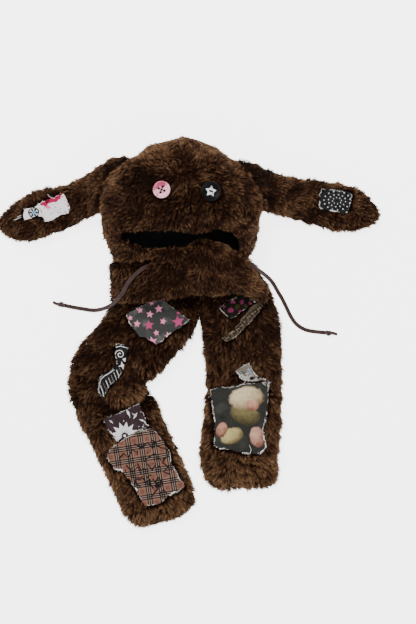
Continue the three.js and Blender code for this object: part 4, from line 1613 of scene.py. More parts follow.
@dataclass
class Patch:
    """A cut scrap of printed cloth that is sewn on the fur, with frayed edges."""

    node: str
    carrier: str
    finish: ClothFinish
    corners: tuple[Point2, ...]
    flat: Point2
    motifs: Sequence[Motif] = ()
    fray: ThreadFinish = PALE_THREADS
    fray_length: float = 0.0022
    frayed: float = 0.5
    seed: int = 1
    wrinkle: float = 0.0006
    wrinkle_length: float = 0.016
    ripple: float = 0.0004
    ripple_length: float = 0.007
    thickness: float = 0.0007
    sunk: float = 0.0016
    step: float = 0.0022
    unevenness: float = 0.00035
    fray_radius: float = 0.00022
    hem_radius: float = 0.00024
    loose_radius: float = 0.00034
    lift: float = 0.0005
    loose_lift: float = 0.0012
    loose: tuple[tuple[Point2, ...], ...] = ()

    def outline(self) -> Array:
        """The patch's outline in the part's frame, from its corners and its CAD node's box."""
        lo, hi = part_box(self.node)
        corners = np.array(self.corners)
        low, high = corners.min(0), corners.max(0)
        share = (corners - low) / (high - low)
        return share * np.array([hi.x - lo.x, hi.y - lo.y]) + np.array([lo.x, lo.y])

    def cut(self) -> Array:
        """The outline with its edge cut a little unevenly, in short steps."""
        draw = np.random.default_rng(self.seed)
        outline = self.outline()
        parts = []
        for a, b in zip(outline, np.roll(outline, -1, 0)):
            count = max(1, round(float(np.linalg.norm(b - a)) / self.step))
            parts.append(a + (b - a) * np.linspace(0, 1, count, endpoint=False)[:, None])
        line = np.concatenate(parts)
        return turned_left(line + draw.normal(0, self.unevenness, line.shape))

    def build(self) -> Cover:
        """Builds the patch, its frayed edge and its loose threads.

        Returns:
            A test of which points lie under the patch.
        """
        heights = HeightField(solid_tree(self.node), self.sunk)
        line = self.cut()
        cloth = self.cloth(line, heights)
        threads = self.threads(line, heights)
        slot = self.node.removeprefix("patch_").rstrip("s") + "_cloth"
        fitted(cloth, self.node)
        fitted(threads)
        following = np.roll(line, -1, 0)
        area = abs(float((line[:, 0] * following[:, 1] - line[:, 1] * following[:, 0]).sum()) / 2)
        LOG.info("%s: %d faces, %.1f cm2", self.node, len(cloth.data.polygons), area * 1e4)
        return lambda points: inside(line, points)

    def cloth(self, line: Array, heights: HeightField) -> bpy.types.Object:
        """The printed cloth as a thin closed sheet.

        Args:
            line: The cut outline.
            heights: The height that it lies at.

        Returns:
            The cloth.
        """
        draw = np.random.default_rng(self.seed + 50)
        lo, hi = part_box(self.node)
        rows = np.arange(lo.x, hi.x, self.step), np.arange(lo.y, hi.y, self.step)
        grid = np.stack(np.meshgrid(*rows, indexing="ij"), -1).reshape(-1, 2)
        grid = grid + draw.uniform(-0.0004, 0.0004, grid.shape)
        grid = grid[inside(line, grid)]
        motifs = on_patch(self.motifs, self.node)
        points = [Vector(p) for p in line]
        faces = [list(range(len(line)))]
        for _, outline in motifs:
            faces.append(list(range(len(points), len(points) + len(outline))))
            points += [Vector(p) for p in turned_left(outline)]
        points += [Vector(p) for p in grid]
        flat, _, triangles, _, _, origins = geometry.delaunay_2d_cdt(points, [], faces, 1, 1e-6, True)
        kept = [(t, o) for t, o in zip(triangles, origins) if 0 in o and len(t) == 3]
        used = sorted({i for t, _ in kept for i in t})
        number = {old: new for new, old in enumerate(used)}
        places = np.array([flat[i] for i in used])
        height = heights.at(places)
        level = np.c_[places, np.zeros(len(places))]
        height += self.wrinkle * waves(level, self.wrinkle_length, self.seed + 7)
        height += self.ripple * waves(level, self.ripple_length, self.seed + 8)
        mesh = mesh_of(np.c_[places, height], np.array([[number[i] for i in t] for t, _ in kept]))
        ink = mesh.attributes.new("ink", "FLOAT", "FACE")
        order = [max((k for k in o if k > 0), default=0) for _, o in kept]
        ink.data.foreach_set("value", np.array([motifs[k - 1][0] if k else 0 for k in order], np.float32))
        edge = mesh.attributes.new("edge", "FLOAT", "POINT")
        closed = np.concatenate([line, line[:1]])
        edge.data.foreach_set("value", from_line(level, closed).astype(np.float32))
        thin = add_object("thin", mesh)
        solid = thin.modifiers.new("cloth", "SOLIDIFY")
        solid.thickness, solid.offset = self.thickness, -1
        material = self.finish.material(Vector(middle_of(self.node)))
        return add_object(f"{self.node}_cloth", applied(thin), material)

    def threads(self, line: Array, heights: HeightField) -> bpy.types.Object:
        """The frayed threads along the edge, and those that hang loose.

        Args:
            line: The cut outline.
            heights: The height that the patch lies at.

        Returns:
            The threads.
        """
        draw = np.random.default_rng(self.seed + 90)
        parts = []
        closed = np.concatenate([line, line[:1]])
        edge = spline(closed, 0.0011)
        ways = unit(np.gradient(edge, axis=0))
        out = np.stack([ways[:, 1], -ways[:, 0]], 1)
        if inside(line, edge + out * 0.001).mean() > 0.5:
            out = -out
        middle = line.mean(0)
        ragged = waves(np.c_[edge, np.zeros(len(edge))], 0.020, self.seed + 5) > 1 - 2 * self.frayed
        for place, way, away in zip(edge[ragged], ways[ragged], out[ragged]):
            length = self.fray_length * draw.uniform(0.4, 1.3)
            lean = away + way * draw.normal(0, 0.7)
            start = place - away * 0.0012 + draw.normal(0, 0.0004, 2)
            end = start + lean * length + draw.normal(0, 0.0004, 2)
            flat = np.stack([start, start + lean * length * 0.5, end])
            parts.append(self.thread(flat, heights, self.fray_radius, self.lift + 0.0003 * draw.random()))
        jitter = np.stack([waves(np.c_[edge, np.zeros(len(edge))], 0.009, self.seed + k) for k in (60, 70)], 1)
        shifted = edge + jitter * 0.0005 - out * 0.0004
        first = 0
        while first < len(shifted) - 6:
            last = min(len(shifted), first + int(draw.integers(4, 14)))
            parts.append(self.thread(shifted[first:last], heights, self.hem_radius, self.lift))
            first = last + int(draw.integers(5, 8 + round(40 * (1 - self.frayed))))
        for strand in self.loose:
            flat = spline(np.array(strand) * MILLIMETRE + middle, 0.0012)
            parts.append(self.thread(flat, heights, self.loose_radius, self.loose_lift))
        return add_object(f"{self.node}_threads", mesh_of(*joined(parts)), self.fray.material())

    def thread(self, flat: Array, heights: HeightField, radius: float, lift: float) -> tuple[Array, Array]:
        """One thread that lies on the patch or on the fur beside it.

        Args:
            flat: Its middle line, seen from above.
            heights: The height that the patch lies at.
            radius: The thread's radius.
            lift: How far its middle is above the patch's top.

        Returns:
            Its points and triangles.
        """
        return tube_mesh(np.c_[flat, heights.at(flat) + lift], UP, oval(4, radius))


def tartan(shader: Shader, place: Any, ground: Any) -> Any:
    """A brown and rose tartan: bands of three dark lines on pale threads.

    Args:
        shader: The cloth's shader.
        place: The point on the cloth.
        ground: The colour under the lines.

    Returns:
        The colour with the tartan on it.
    """
    x, y, _ = shader.axes(shader.moved(place, (0, 0, 0), math.radians(-9)))
    step = 0.0218
    nears = [(axis + shift).wrapped(step) for axis, shift in ((x, 0.002), (y, 0.007))]
    heart = nears[0].band(0.0066, 0.0078) * nears[1].band(0.0066, 0.0078)
    colour = shader.mix(heart * 0.7, ground, tint(104, 68, 63))
    for near in nears:
        colour = shader.mix((1 - near.band(0.0044, 0.0050)) * 0.45, colour, tint(182, 162, 150))
    for near in nears:
        for middle in (0.0, 0.0034):
            colour = shader.mix((1 - abs(near - middle).band(0.0008, 0.0014)) * 0.95, colour, tint(18, 15, 17))
    return colour


def painted(shader: Shader, place: Any, ground: Any) -> Any:
    """Soft painted pebbles in cream, rose and olive.

    Args:
        shader: The cloth's shader.
        place: The point on the cloth.
        ground: The colour behind the pebbles.

    Returns:
        The colour with the pebbles on it.
    """
    colour = ground
    brush = shader.noise(place, 0.008, 5.0, 0.7)
    for x, y, wide, tall, turn, dark, pale in (
        (-0.030, 0.012, 0.012, 0.015, 15, tint(34, 34, 32), tint(62, 62, 56)),
        (0.010, 0.006, 0.028, 0.019, 20, tint(58, 52, 36), tint(122, 112, 74)),
        (-0.013, -0.030, 0.021, 0.014, -20, tint(104, 92, 60), tint(196, 180, 124)),
        (-0.030, -0.020, 0.010, 0.014, 20, tint(104, 66, 54), tint(192, 140, 118)),
        (0.012, 0.034, 0.031, 0.021, -8, tint(132, 108, 80), tint(226, 206, 164)),
        (0.022, 0.022, 0.012, 0.010, 30, tint(132, 84, 70), tint(204, 150, 128)),
        (0.030, -0.032, 0.013, 0.019, -12, tint(122, 78, 64), tint(204, 158, 138)),
    ):
        u, v, _ = shader.axes(shader.moved(place, (-x, -y, 0), math.radians(turn)))
        reach = ((u / wide) * (u / wide) + (v / tall) * (v / tall)).root()
        shape = 1 - (reach + (brush - 0.5) * 0.5).band(0.80, 1.04)
        light = (brush * 0.8 + (v / tall) * 0.26 - (u / wide) * 0.16 - reach * 0.25 + 0.28).band(0.15, 0.85)
        colour = shader.mix(shape, colour, shader.mix(light, dark, pale))
    return colour


def blot(
    ink: int, x: float, y: float, radius: float, seed: int, ragged: float = 0.25, tall: float = 1.0
) -> Motif:
    """A rounded blot, in millimetres from the patch's middle.

    Args:
        ink: Its ink.
        x: Its middle across.
        y: Its middle up.
        radius: Its usual radius.
        seed: Which blot.
        ragged: How uneven its edge is.
        tall: Its height as a share of its width.

    Returns:
        The motif.
    """
    angles = np.linspace(0, TURN, BLOT_CORNERS, endpoint=False)
    draw = np.random.default_rng(seed)
    reach = radius * (1 + ragged * sum(
        np.cos(n * angles + draw.uniform(0, TURN)) * draw.uniform(0.3, 0.8) for n in (2, 3, 5)))
    return ink, np.stack([x + reach * np.cos(angles), y + tall * reach * np.sin(angles)], 1)


def stroke(ink: int, width: float, *path: Point2) -> Motif:
    """A drawn stroke, in millimetres from the patch's middle.

    Args:
        ink: Its ink.
        width: Its width.
        path: The points of its middle line.

    Returns:
        The motif.
    """
    line = np.array(path, float)
    way = unit(np.gradient(line, axis=0))
    side = np.stack([-way[:, 1], way[:, 0]], 1) * width / 2
    return ink, np.concatenate([line + side, (line - side)[::-1]])


def ring_motif(x: float, y: float, radius: float, dots: int, size: float, ink: int) -> list[Motif]:
    """A ring of dots, in millimetres from the patch's middle.

    Args:
        x: The ring's middle across.
        y: The ring's middle up.
        radius: The ring's radius.
        dots: How many dots it has.
        size: The radius of a dot.
        ink: The dots' ink.

    Returns:
        The dots.
    """
    angles = np.linspace(0, TURN, dots, endpoint=False) + radius
    return [
        blot(ink, x + 1.18 * radius * math.cos(a), y + 0.84 * radius * math.sin(a), size, k, 0.2)
        for k, a in enumerate(angles)]


def scattered(
    ink: int, seed: int, count: int, reach: Point2, sizes: Point2, middle: Point2 = (0, 0)
) -> list[Motif]:
    """Small uneven blots at random places, in millimetres from the patch's middle.

    Args:
        ink: Their ink.
        seed: Which scatter.
        count: How many.
        reach: How far from their middle they go, across and up.
        sizes: Their smallest and largest radius.
        middle: The middle of the scatter.

    Returns:
        The blots.
    """
    draw = np.random.default_rng(seed)
    return [
        blot(ink, middle[0] + draw.uniform(-reach[0], reach[0]), middle[1] + draw.uniform(-reach[1], reach[1]),
             draw.uniform(*sizes), seed + k, 0.3)
        for k in range(count)]


@dataclass
class Patchwork:
    """All ten patches, on the ears and the tails."""

    def build(self) -> list[Cover]:
        """Builds every patch.

        Returns:
            A test of which points lie under each.
        """
        patches = [
            self.splash(), self.rings(), self.stars(), self.curl(), self.plum(), self.plaid(), self.spots(),
            self.strip(), self.scrap(), self.picture(),
        ]
        return [patch.build() for patch in patches]

    def splash(self) -> Patch:
        """White cotton with a crimson splash along its top, ink specks and an inked rosette."""
        petals: list[Motif] = []
        for angle in np.linspace(0, TURN, 6, endpoint=False):
            x, y = -22 + 4.8 * math.cos(angle), -8 + 4.8 * math.sin(angle)
            petals.append((3, star_outline(x, y, 3.8, math.degrees(angle) - 90, 0.55, 2)))
        motifs = [
            blot(5, 0, 3, 5.2, 12, 0.4, 0.9), blot(1, 9, 13.5, 9.5, 4, 0.30, 0.55),
            blot(1, -3, 8.5, 6.8, 5, 0.35, 0.8), blot(1, 19, 20, 7.2, 6, 0.4, 0.6),
            blot(2, 1, 11, 4.0, 7, 0.35, 0.6), blot(2, 24, 23, 2.6, 17, 0.4, 0.6),
            blot(2, 39, -4, 2.0, 18, 0.4), blot(2, 13, 17, 3.2, 8, 0.3, 0.6), blot(1, 27, 19, 1.2, 13),
            blot(1, 31, 13, 1.0, 14), blot(1, 37, 3, 1.6, 15, 0.3), blot(3, -22, -8, 9.4, 9, 0.05),
            blot(4, -22, -8, 7.2, 10, 0.05),
            *petals,
            blot(6, -22, -8, 3.2, 11, 0.1), stroke(3, 1.1, (-12, -1), (-9, -5), (-8, -9)),
            *scattered(3, 21, 12, (20, 8), (0.4, 1.0), (12, -3)),
            *scattered(5, 22, 7, (16, 6), (0.5, 1.2), (10, 2)),
        ]
        inks = (
            tint(176, 26, 76), tint(104, 10, 40), tint(22, 20, 24), tint(232, 228, 230),
            tint(226, 120, 158), tint(110, 160, 205))
        finish = ClothFinish("splash_print", tint(248, 240, 242), inks, tint(214, 200, 206), 0.4)
        corners = (
            (0.28, 0.5), (0.36, 0.5), (0.5, 0.04), (0.46, -0.18), (0.29, -0.25), (0.12, -0.43), (-0.03, -0.5),
            (-0.06, -0.32), (-0.18, -0.29), (-0.48, -0.43), (-0.5, -0.25), (-0.46, -0.04), (-0.24, 0.04),
            (-0.14, 0.18), (0.18, 0.39))
        loose = (
            ((-44, -13), (-48, -15), (-53, -17), (-57, -18)), ((-44, -10), (-47, -11), (-49, -13), (-51, -13)),
            ((14, 18), (8, 20), (4, 22), (1, 26)))
        return Patch("patch_splash", "ear_left", finish, corners, (0.048, 0.080), motifs, WHITE_THREADS,
                     frayed=0.15, seed=11, loose=loose)

    def rings(self) -> Patch:
        """Black cotton with uneven rings of white dots."""
        motifs: list[Motif] = []
        for radius, dots, size, ink in (
            (3.2, 6, 0.6, 2), (6.4, 8, 0.8, 1), (9.4, 16, 0.6, 2), (12.4, 12, 0.95, 1), (15.6, 26, 0.6, 2),
            (19.0, 15, 1.0, 1), (22.4, 34, 0.6, 2),
        ):
            motifs += ring_motif(2.4, 0.5, radius, dots, size, ink)
        finish = ClothFinish(
            "dotted_ring_print", tint(17, 19, 20), (tint(236, 234, 232), tint(84, 88, 90)), tint(46, 50, 52),
            0.5, torn=0.0018)
        corners = (
            (-0.42, 0.5), (0.36, 0.38), (0.49, 0.29), (0.45, 0.04), (0.42, -0.21), (0.33, -0.5), (0.06, -0.46),
            (-0.33, -0.38), (-0.5, -0.29), (-0.48, 0.25))
        return Patch("patch_rings", "ear_right", finish, corners, (0.057, 0.041), motifs, seed=12, frayed=0.3)

    def stars(self) -> Patch:
        """Grey cotton with rose and dark rose stars."""
        chart = (
            (-29.8, 17.9, 5.8, 10, 1), (-12.9, 11.1, 6.8, -8, 1), (2.0, 20.2, 7.8, 6, 1),
            (-10.5, 30.3, 4.6, 20, 1), (10.9, 38.4, 5.1, -12, 2), (-46.1, 4.8, 4.8, 14, 1),
            (-34.7, -5.1, 6.7, -6, 1), (-14.5, -7.5, 9.0, 4, 2), (9.5, -1.0, 6.1, -14, 1),
            (35.2, -1.5, 11.2, 10, 2), (-1.9, -20.6, 5.8, 12, 1), (18.7, -25.0, 7.2, 24, 1),
            (-8.7, -35.7, 9.6, 16, 1), (35.2, 13.4, 3.8, 0, 2))
        motifs = [(ink, star_outline(x, y, size, turn, 0.46)) for x, y, size, turn, ink in chart]
        inks = (tint(236, 140, 176), tint(178, 70, 114))
        finish = ClothFinish("star_print", tint(58, 59, 57), inks, tint(108, 110, 106), 0.8, 0.022, torn=0.0013)
        corners = (
            (-0.5, 0.14), (-0.13, 0.39), (0.09, 0.5), (0.17, 0.35), (0.5, 0.03), (0.37, -0.14), (0.2, -0.27),
            (0.07, -0.44), (-0.02, -0.5), (-0.19, -0.35), (-0.29, -0.33), (-0.44, -0.06))
        return Patch("patch_stars", "tail_left", finish, corners, (0.107, 0.080), motifs, seed=13, frayed=0.2)

    def curl(self) -> Patch:
        """Black cotton with a white curl over a run of white bars."""
        turns = np.linspace(0, 1, 30)
        curl = [
            (12 + (1.2 + 7.6 * s) * math.cos(9.6 * s + 0.6), 28 + (1.2 + 7.6 * s) * math.sin(9.6 * s + 0.6))
            for s in turns]
        motifs = [
            stroke(2, 1.35, *curl), blot(2, 21, 19, 3.6, 31, 0.35),
            stroke(2, 1.6, (4, 45), (12, 47), (20, 44), (25, 46)), stroke(2, 1.2, (4, 40), (13, 42), (24, 39)),
            (2, star_outline(16, 9, 7.4, 12, 0.35, 4)), blot(2, 22, 4, 3.0, 33, 0.3),
            stroke(2, 1.3, (2, 2), (-6, -4), (-15, -9), (-21, -15), (-24, -26), (-25, -38)),
        ]
        for number in range(9):
            x, y = 15 - 4.6 * number, 2 - 4.4 * number
            ink, width = 2 if number % 3 else 3, 1.2 if number % 2 else 0.8
            motifs.append(stroke(ink, width, (x - 4.5, y + 4), (x - 1, y - 5), (x + 1.5, y - 15)))
        finish = ClothFinish(
            "curl_print", tint(24, 23, 24), (tint(18, 18, 20), tint(234, 232, 232), tint(128, 122, 120)),
            tint(62, 58, 58), 0.6, torn=0.0007)
        corners = (
            (0.1, 0.5), (0.5, 0.44), (0.43, 0.24), (0.34, 0.03), (0.14, -0.15), (-0.12, -0.26), (-0.34, -0.5),
            (-0.5, -0.35), (-0.45, -0.15), (-0.34, -0.06), (-0.12, -0.03), (0.14, 0.12), (0.07, 0.3))
        return Patch("patch_curl", "tail_left", finish, corners, (0.035, 0.108), motifs, seed=14, frayed=0.25)

    def plum(self) -> Patch:
        """Dark plum cotton with a white half daisy and pale leaves."""
        motifs: list[Motif] = []
        for angle in np.linspace(-0.1, math.pi + 0.35, 8):
            x, y = -4 + 14 * math.cos(angle), -22 + 14 * math.sin(angle)
            motifs.append((1, star_outline(x, y, 10.5, math.degrees(angle) - 90, 0.40, 2)))
        motifs += [blot(2, -4, -22, 5.5, 43, 0.12), blot(1, -4, -22, 2.2, 44, 0.2)]
        for x, y, size, turn in ((2, 17, 8, 25), (14, 12, 7, -30), (26, 4, 6, 70), (-27, 2, 5, 50)):
            motifs.append((1, star_outline(x, y, size, turn, 0.28, 2)))
        motifs += scattered(1, 41, 12, (30, 18), (0.5, 1.2), (4, 6))
        inks = (tint(232, 230, 230), tint(50, 36, 40))
        finish = ClothFinish("daisy_print", tint(50, 37, 41), inks, tint(78, 62, 68), 0.5, torn=0.0015)
        corners = (
            (-0.5, 0.09), (-0.1, 0.29), (0.1, 0.4), (0.23, 0.5), (0.35, 0.22), (0.4, -0.04), (0.5, -0.09),
            (0.23, -0.19), (-0.02, -0.37), (-0.21, -0.5), (-0.29, -0.32), (-0.38, -0.19))
        return Patch("patch_plum", "tail_left", finish, corners, (0.082, 0.066), motifs, seed=15, frayed=0.35)

    def plaid(self) -> Patch:
        """Brown and rose tartan with worn dark scribbles."""
        motifs = [
            stroke(1, 2.6, (-46, 14), (-38, 24), (-30, 16), (-24, 30), (-18, 26)),
            stroke(1, 2.3, (-20, 40), (-8, 33), (2, 42), (10, 34), (14, 44)),
            stroke(1, 2.5, (34, 18), (28, 8), (37, 1), (30, -8), (40, -12)),
            stroke(1, 2.3, (-34, 4), (-24, -8), (-14, 0), (-8, -12)),
            stroke(1, 2.5, (-6, -18), (4, -30), (12, -20), (20, -34)),
            stroke(1, 2.1, (2, 6), (10, -4), (16, 4)), stroke(1, 2.2, (22, -46), (30, -38), (36, -46)),
            *scattered(1, 66, 14, (44, 48), (0.9, 2.0)),
        ]
        draw = np.random.default_rng(161)
        for x, y in draw.uniform(-42, 42, (20, 2)):
            steps = np.cumsum(draw.uniform(-9, 9, (5, 2)), 0)
            motifs.append(stroke(1, draw.uniform(1.9, 2.7), *[(x + u, y + v) for u, v in steps]))
        finish = ClothFinish(
            "tartan_print", tint(130, 91, 73), (tint(20, 17, 19),), tint(150, 114, 96), 0.5, 0.02, 0.0028,
            pattern=tartan)
        corners = (
            (-0.39, 0.29), (-0.13, 0.45), (0.07, 0.5), (0.14, 0.43), (0.23, 0.31), (0.3, 0.2),
            (0.32, 0.05), (0.38, -0.04), (0.42, -0.14), (0.5, -0.23), (0.42, -0.31), (0.31, -0.35),
            (0.19, -0.45), (0.08, -0.49), (-0.02, -0.5), (-0.08, -0.38), (-0.2, -0.17), (-0.32, -0.04),
            (-0.4, -0.03), (-0.45, 0.05), (-0.5, 0.13), (-0.45, 0.24))
        return Patch("patch_plaid", "tail_left", finish, corners, (0.133, 0.133), motifs, seed=16,
                     wrinkle=0.001, frayed=0.35)

    def spots(self) -> Patch:
        """Near black cotton with dark rose spots."""
        motifs = [
            blot(1, -11, -6, 4.6, 51, 0.25), blot(1, 8, 8, 3.8, 52, 0.3), blot(1, -7, 8, 3.4, 53, 0.3),
            blot(1, 22, 6, 2.8, 54, 0.3), blot(1, 5, -8, 2.4, 55, 0.3), blot(1, -22, 0, 2.2, 56, 0.3),
            blot(2, 0, 0, 4.4, 57), blot(2, 15, 1, 3.4, 58), blot(2, -3, 15, 3.0, 59),
        ]
        inks = (tint(132, 46, 86), tint(58, 50, 26))
        finish = ClothFinish("spot_print", tint(20, 18, 12), inks, tint(46, 42, 26), 0.6, torn=0.0009)
        corners = (
            (-0.5, -0.06), (-0.25, 0.23), (0.16, 0.5), (0.5, 0.19), (0.1, -0.21), (-0.03, -0.4), (-0.17, -0.5),
            (-0.31, -0.35))
        return Patch("patch_spots", "tail_right", finish, corners, (0.062, 0.041), motifs, seed=17, frayed=0.25,
                     fray_length=0.0016)

    def strip(self) -> Patch:
        """A grey-beige woven strip with rows of dark ticks."""
        motifs: list[Motif] = []
        for number in range(21):
            x, y = -30 + 3.0 * number, -30 + 2.92 * number + 1.6 * math.sin(number * 0.57)
            lean = 2.4 if number % 3 else -1.4
            motifs.append(stroke(1, 2.0, (x - 2.4, y + 2.6), (x + lean + 1.8, y - 4.6)))
            if number % 2:
                motifs.append(stroke(2, 0.9, (x - 2.0, y - 2.4), (x + 3.6, y + 1.0)))
        finish = ClothFinish(
            "ticked_weave", tint(80, 68, 55), (tint(26, 19, 15), tint(140, 124, 104)), tint(50, 40, 32),
            0.9, 0.006, torn=0.0012, torn_colour=tint(168, 154, 134))
        corners = (
            (0.5, 0.4), (0.38, 0.5), (0.2, 0.38), (-0.07, 0.02), (-0.24, -0.22), (-0.5, -0.4), (-0.39, -0.5),
            (-0.17, -0.37), (0.12, -0.07), (0.42, 0.3))
        return Patch("patch_strip", "tail_right", finish, corners, (0.014, 0.098), motifs, BEIGE_THREADS,
                     frayed=0.25, seed=18, fray_length=0.0016)

    def scrap(self) -> Patch:
        """A white and grey scrap with dark blots."""
        motifs = [
            blot(2, -12, 5, 9.0, 61, 0.25, 0.7), blot(3, -3, 1, 4.6, 62, 0.3, 0.5),
            blot(1, 2, -10.5, 4.6, 63, 0.15, 0.62), blot(2, 11, -7, 5.0, 65, 0.3, 0.6),
            stroke(1, 1.3, (-22, 4), (-14, 0), (-9, -7)), stroke(1, 1.2, (-16, 9), (-7, 12), (-1, 10)),
            stroke(2, 1.2, (-12, -7), (-4, -4), (6, -5), (14, -11)), stroke(1, 1.0, (-3, 8), (2, 2), (5, -4)),
            stroke(1, 1.4, (-24, 3), (-19, -1), (-16, -5)), stroke(2, 1.6, (-14, 9), (-8, 5), (-5, 2)),
            stroke(1, 1.0, (0, 12), (3, 5), (7, -1), (12, -5)), *scattered(1, 64, 18, (18, 10), (0.5, 1.3)),
        ]
        inks = (tint(34, 30, 30), tint(112, 104, 96), tint(112, 130, 152))
        finish = ClothFinish("blot_print", tint(170, 165, 155), inks, tint(76, 71, 66), 1.0, 0.006, torn=0.0022)
        corners = (
            (-0.5, 0.11), (-0.06, 0.5), (0.05, 0.22), (0.17, -0.17), (0.5, -0.42), (0.04, -0.5), (-0.32, -0.39))
        loose = (
            ((-18, 0), (-11, -4), (-8, -9), (-10, -15), (-17, -19), (-24, -21)),
            ((20, -13), (24, -17), (27, -19)))
        return Patch("patch_scrap", "tail_right", finish, corners, (0.052, 0.031), motifs, WHITE_THREADS,
                     frayed=0.3, seed=19, loose=loose)

    def picture(self) -> Patch:
        """Charcoal cotton with soft painted pebbles."""
        finish = ClothFinish(
            "pebble_print", tint(44, 44, 41), (), tint(66, 66, 60), 0.6, 0.02, 0.0022, pattern=painted)
        corners = (
            (-0.5, 0.39), (-0.34, 0.43), (-0.18, 0.43), (0.01, 0.47), (0.5, 0.5), (0.49, 0.21), (0.47, 0.05),
            (0.4, -0.17), (0.47, -0.4), (0.37, -0.49), (0.28, -0.5), (0.09, -0.49), (-0.23, -0.43),
            (-0.34, -0.43), (-0.44, -0.37), (-0.42, -0.18), (-0.44, 0.05), (-0.49, 0.3))
        loose = (((14, -47), (16, -52), (17, -57), (14, -62), (9, -60)),)
        return Patch("patch_picture", "tail_right", finish, corners, (0.099, 0.122), (), WHITE_THREADS,
                     frayed=0.25, seed=20, wrinkle=0.0008, loose=loose)


# Camera, light and floor


@dataclass
class Studio:
    """The pale floor, the soft light and the camera straight above."""

    middle: Point2 = (0.0324, 0.0350)
    view_height: float = 1.0608
    lens: float = 100.0
    sensor: float = 36.0
    floor_size: float = 12.0
    floor_level: float = -0.0004
    glow: float = 3.6
    sky: float = 0.9

    def camera(self) -> None:
        """A camera that looks straight down with the photograph's framing."""
        data = bpy.data.cameras.new("camera")
        data.lens, data.sensor_width = self.lens, self.sensor
        made = bpy.data.objects.new("camera", data)
        distance = self.view_height / 2 / (self.sensor / 2 / self.lens)
        made.location = (*self.middle, distance + 0.03)
        bpy.context.scene.collection.objects.link(made)
        bpy.context.scene.camera = made

    def lamp(
        self, name: str, place: Sequence[float], size: float, power: float, colour: Sequence[float]
    ) -> None:
        """A square soft light that faces the object.

        Args:
            name: Its name.
            place: Where it hangs.
            size: Its side.
            power: Its power in watts.
            colour: Its colour.
        """
        data = bpy.data.lights.new(name, "AREA")
        data.shape, data.size, data.energy, data.color = "SQUARE", size, power, tuple(colour)
        made = bpy.data.objects.new(name, data)
        made.location = place
        made.rotation_euler = (-Vector(place)).to_track_quat("-Z", "Y").to_euler()
        bpy.context.scene.collection.objects.link(made)

    def build(self) -> None:
        """Lays the floor and hangs the lights."""
        shader = Shader("pale_floor")
        shader.set(Base_Color=(0.93, 0.93, 0.93, 1), Roughness=0.9, Specular_IOR_Level=0.0)
        shader.set(Emission_Color=(1.0, 1.0, 1.0, 1), Emission_Strength=self.glow)
        half = self.floor_size / 2
        signs = ((-1, -1), (1, -1), (1, 1), (-1, 1))
        corners = np.array([[x * half, y * half, self.floor_level] for x, y in signs])
        floor = add_object("floor", mesh_of(corners, np.array([[0, 1, 2], [0, 2, 3]])), shader.material)
        world = bpy.data.worlds.new("studio")
        world.use_nodes = True
        sky = world.node_tree.nodes["Background"].inputs
        sky["Color"].default_value, sky["Strength"].default_value = (1, 1, 1, 1), self.sky
        bpy.context.scene.world = world
        self.lamp("key", (-0.9, 1.5, 2.1), 1.1, 62, (1.0, 0.985, 0.96))
        self.lamp("fill", (1.5, -0.6, 1.8), 1.8, 18, (0.98, 0.99, 1.0))


def under_disc(node: str, share: float) -> Cover:
    """What a round button hides.

    Args:
        node: The button's node.
        share: The part of its radius that counts.

    Returns:
        A test of which points lie under it.
    """
    lo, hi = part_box(node)
    middle, radius = middle_of(node)[:2], (hi.x - lo.x) / 2 * share
    return lambda points: np.linalg.norm(points[:, :2] - middle, axis=1) < radius


def under_line(line: Array, reach: float) -> Cover:
    """What a lace presses down.

    Args:
        line: The lace's middle line.
        reach: How far to each side it presses.

    Returns:
        A test of which points lie under it.
    """
    return lambda points: from_line(points, line[::5]) < reach


def local(*points: Point2) -> tuple[Point2, ...]:
    """Points in metres from the neck seam's middle, moved to the part's frame."""
    return tuple((x + SEAM_SHIFT.x, y + SEAM_SHIFT.y) for x, y in points)


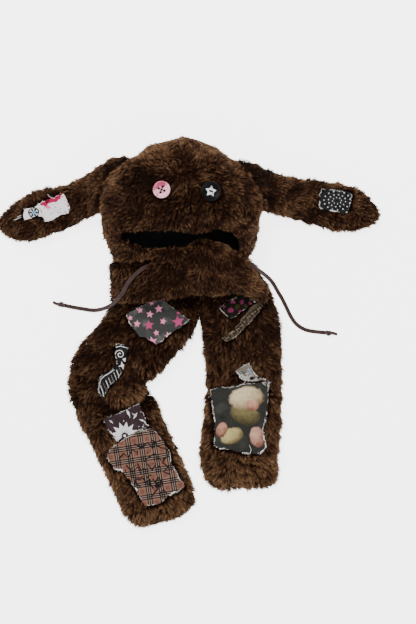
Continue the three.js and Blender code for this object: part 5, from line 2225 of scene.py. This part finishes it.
@dataclass
class Plush:
    """All the furry pieces."""

    finish: FurFinish = FurFinish()

    def pieces(self) -> list[FurPiece]:
        """The furry pieces with their folds.

        Returns:
            The pieces in the order they are made.
        """
        lo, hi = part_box("hood")
        hollow = ((lo.x + hi.x) / 2, (lo.z + hi.z) * 0.46)
        band_lo, band_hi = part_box("neck_band")
        arch = ((band_lo.x + band_hi.x) / 2, 0.012)
        brow = Crease(*local((-0.062, 0.135), (-0.036, 0.116)), 0.003, 0.012)
        # Elbow folds dent the skin and darken the strands with painted shade; the last, with depth below zero,
        # is the lobe's ridge with a painted highlight.
        elbow = (
            Crease(*local((-0.058, -0.2095), (-0.092, -0.2005)), 0.006, 0.005),
            Crease(*local((-0.060, -0.214), (-0.0645, -0.2433)), 0.010, 0.007),
            Crease(*local((-0.0645, -0.2433), (-0.1017, -0.2595)), 0.013, 0.010),
            Crease(*local((-0.1017, -0.2595), (-0.126, -0.250)), 0.012, 0.011),
            Crease(*local((-0.126, -0.250), (-0.138, -0.234)), 0.009, 0.009),
            Crease(*local((-0.112, -0.234), (-0.078, -0.224)), -0.0055, 0.013),
        )
        pinch = Crease(*local((0.004, 0.017), (0.010, -0.020)), 0.005, 0.006)
        lip = Crease(*local((-0.112, -0.004), (-0.058, -0.010)), 0.004, 0.007)
        roots_left = tuple(Crease(*local(*ends), 0.004, 0.0055) for ends in (
            ((-0.075, 0.166), (-0.118, 0.150)), ((-0.078, 0.150), (-0.122, 0.130)),
            ((-0.084, 0.134), (-0.120, 0.112))))
        roots_right = tuple(Crease(*local(*ends), 0.004, 0.0055) for ends in (
            ((0.096, 0.160), (0.142, 0.140)), ((0.098, 0.146), (0.150, 0.120)),
            ((0.104, 0.128), (0.148, 0.100))))
        mouth = Trim(local(
            (-0.102, 0.036), (-0.06, 0.034), (0.0, 0.030), (0.028, 0.036), (0.068, 0.037), (0.09, 0.034)))
        crown = Trim(local((-0.024, 0.206), (0.008, 0.208), (0.036, 0.200)), 0.020, 0.55)
        fork = Trim(local((0.030, -0.094), (0.034, -0.128)), 0.010, 0.6)
        corner = Trim(local((-0.024, -0.452), (-0.004, -0.446), (0.012, -0.430)), 0.014, 0.6)
        return [
            FurPiece("hood", Lie.FROM_CROWN, 90000, 101, (brow,), hollow, paling=0.12, trims=(mouth, crown)),
            FurPiece("neck_band", Lie.OVER, 46000, 102, (pinch, lip), arch, trims=(mouth,)),
            FurPiece("ear_left", Lie.LEFT, 40000, 103, roots_left, paling=0.12),
            FurPiece("ear_right", Lie.RIGHT, 40000, 104, roots_right, paling=0.12),
            FurPiece("tail_left", Lie.DOWN, 84000, 105, elbow, pile=0.015, paling=0.38, tuft=15,
                     trims=(corner, fork)),
            FurPiece("tail_right", Lie.DOWN, 74000, 106, pile=0.015, paling=0.36, tuft=15, trims=(fork,)),
        ]

    def build(self, covers: Sequence[Cover]) -> None:
        """Builds every furry piece.

        Args:
            covers: What lies on the fur.
        """
        pieces = self.pieces()
        solids = {piece.node: solid_tree(piece.node) for piece in pieces}
        for piece in pieces:
            piece.build(self.finish, covers, [solid for node, solid in solids.items() if node != piece.node])


def main() -> None:
    """Builds the scene in order: camera, drawcord, eyes, patches, fur, lining and studio."""
    logging.basicConfig(level=logging.INFO, format="%(name)s: %(message)s")
    studio = Studio()
    studio.camera()
    laces = Drawcord().build()
    Eyes().build()
    covers = Patchwork().build()
    covers += [under_disc("button_pink", 0.97), under_disc("button_black", 0.97)]
    covers += [under_line(lace[12:], 0.0036) for lace in laces]
    Plush().build(covers)
    Lining().build(LiningFinish())
    studio.build()


if __name__ == "__main__":
    main()
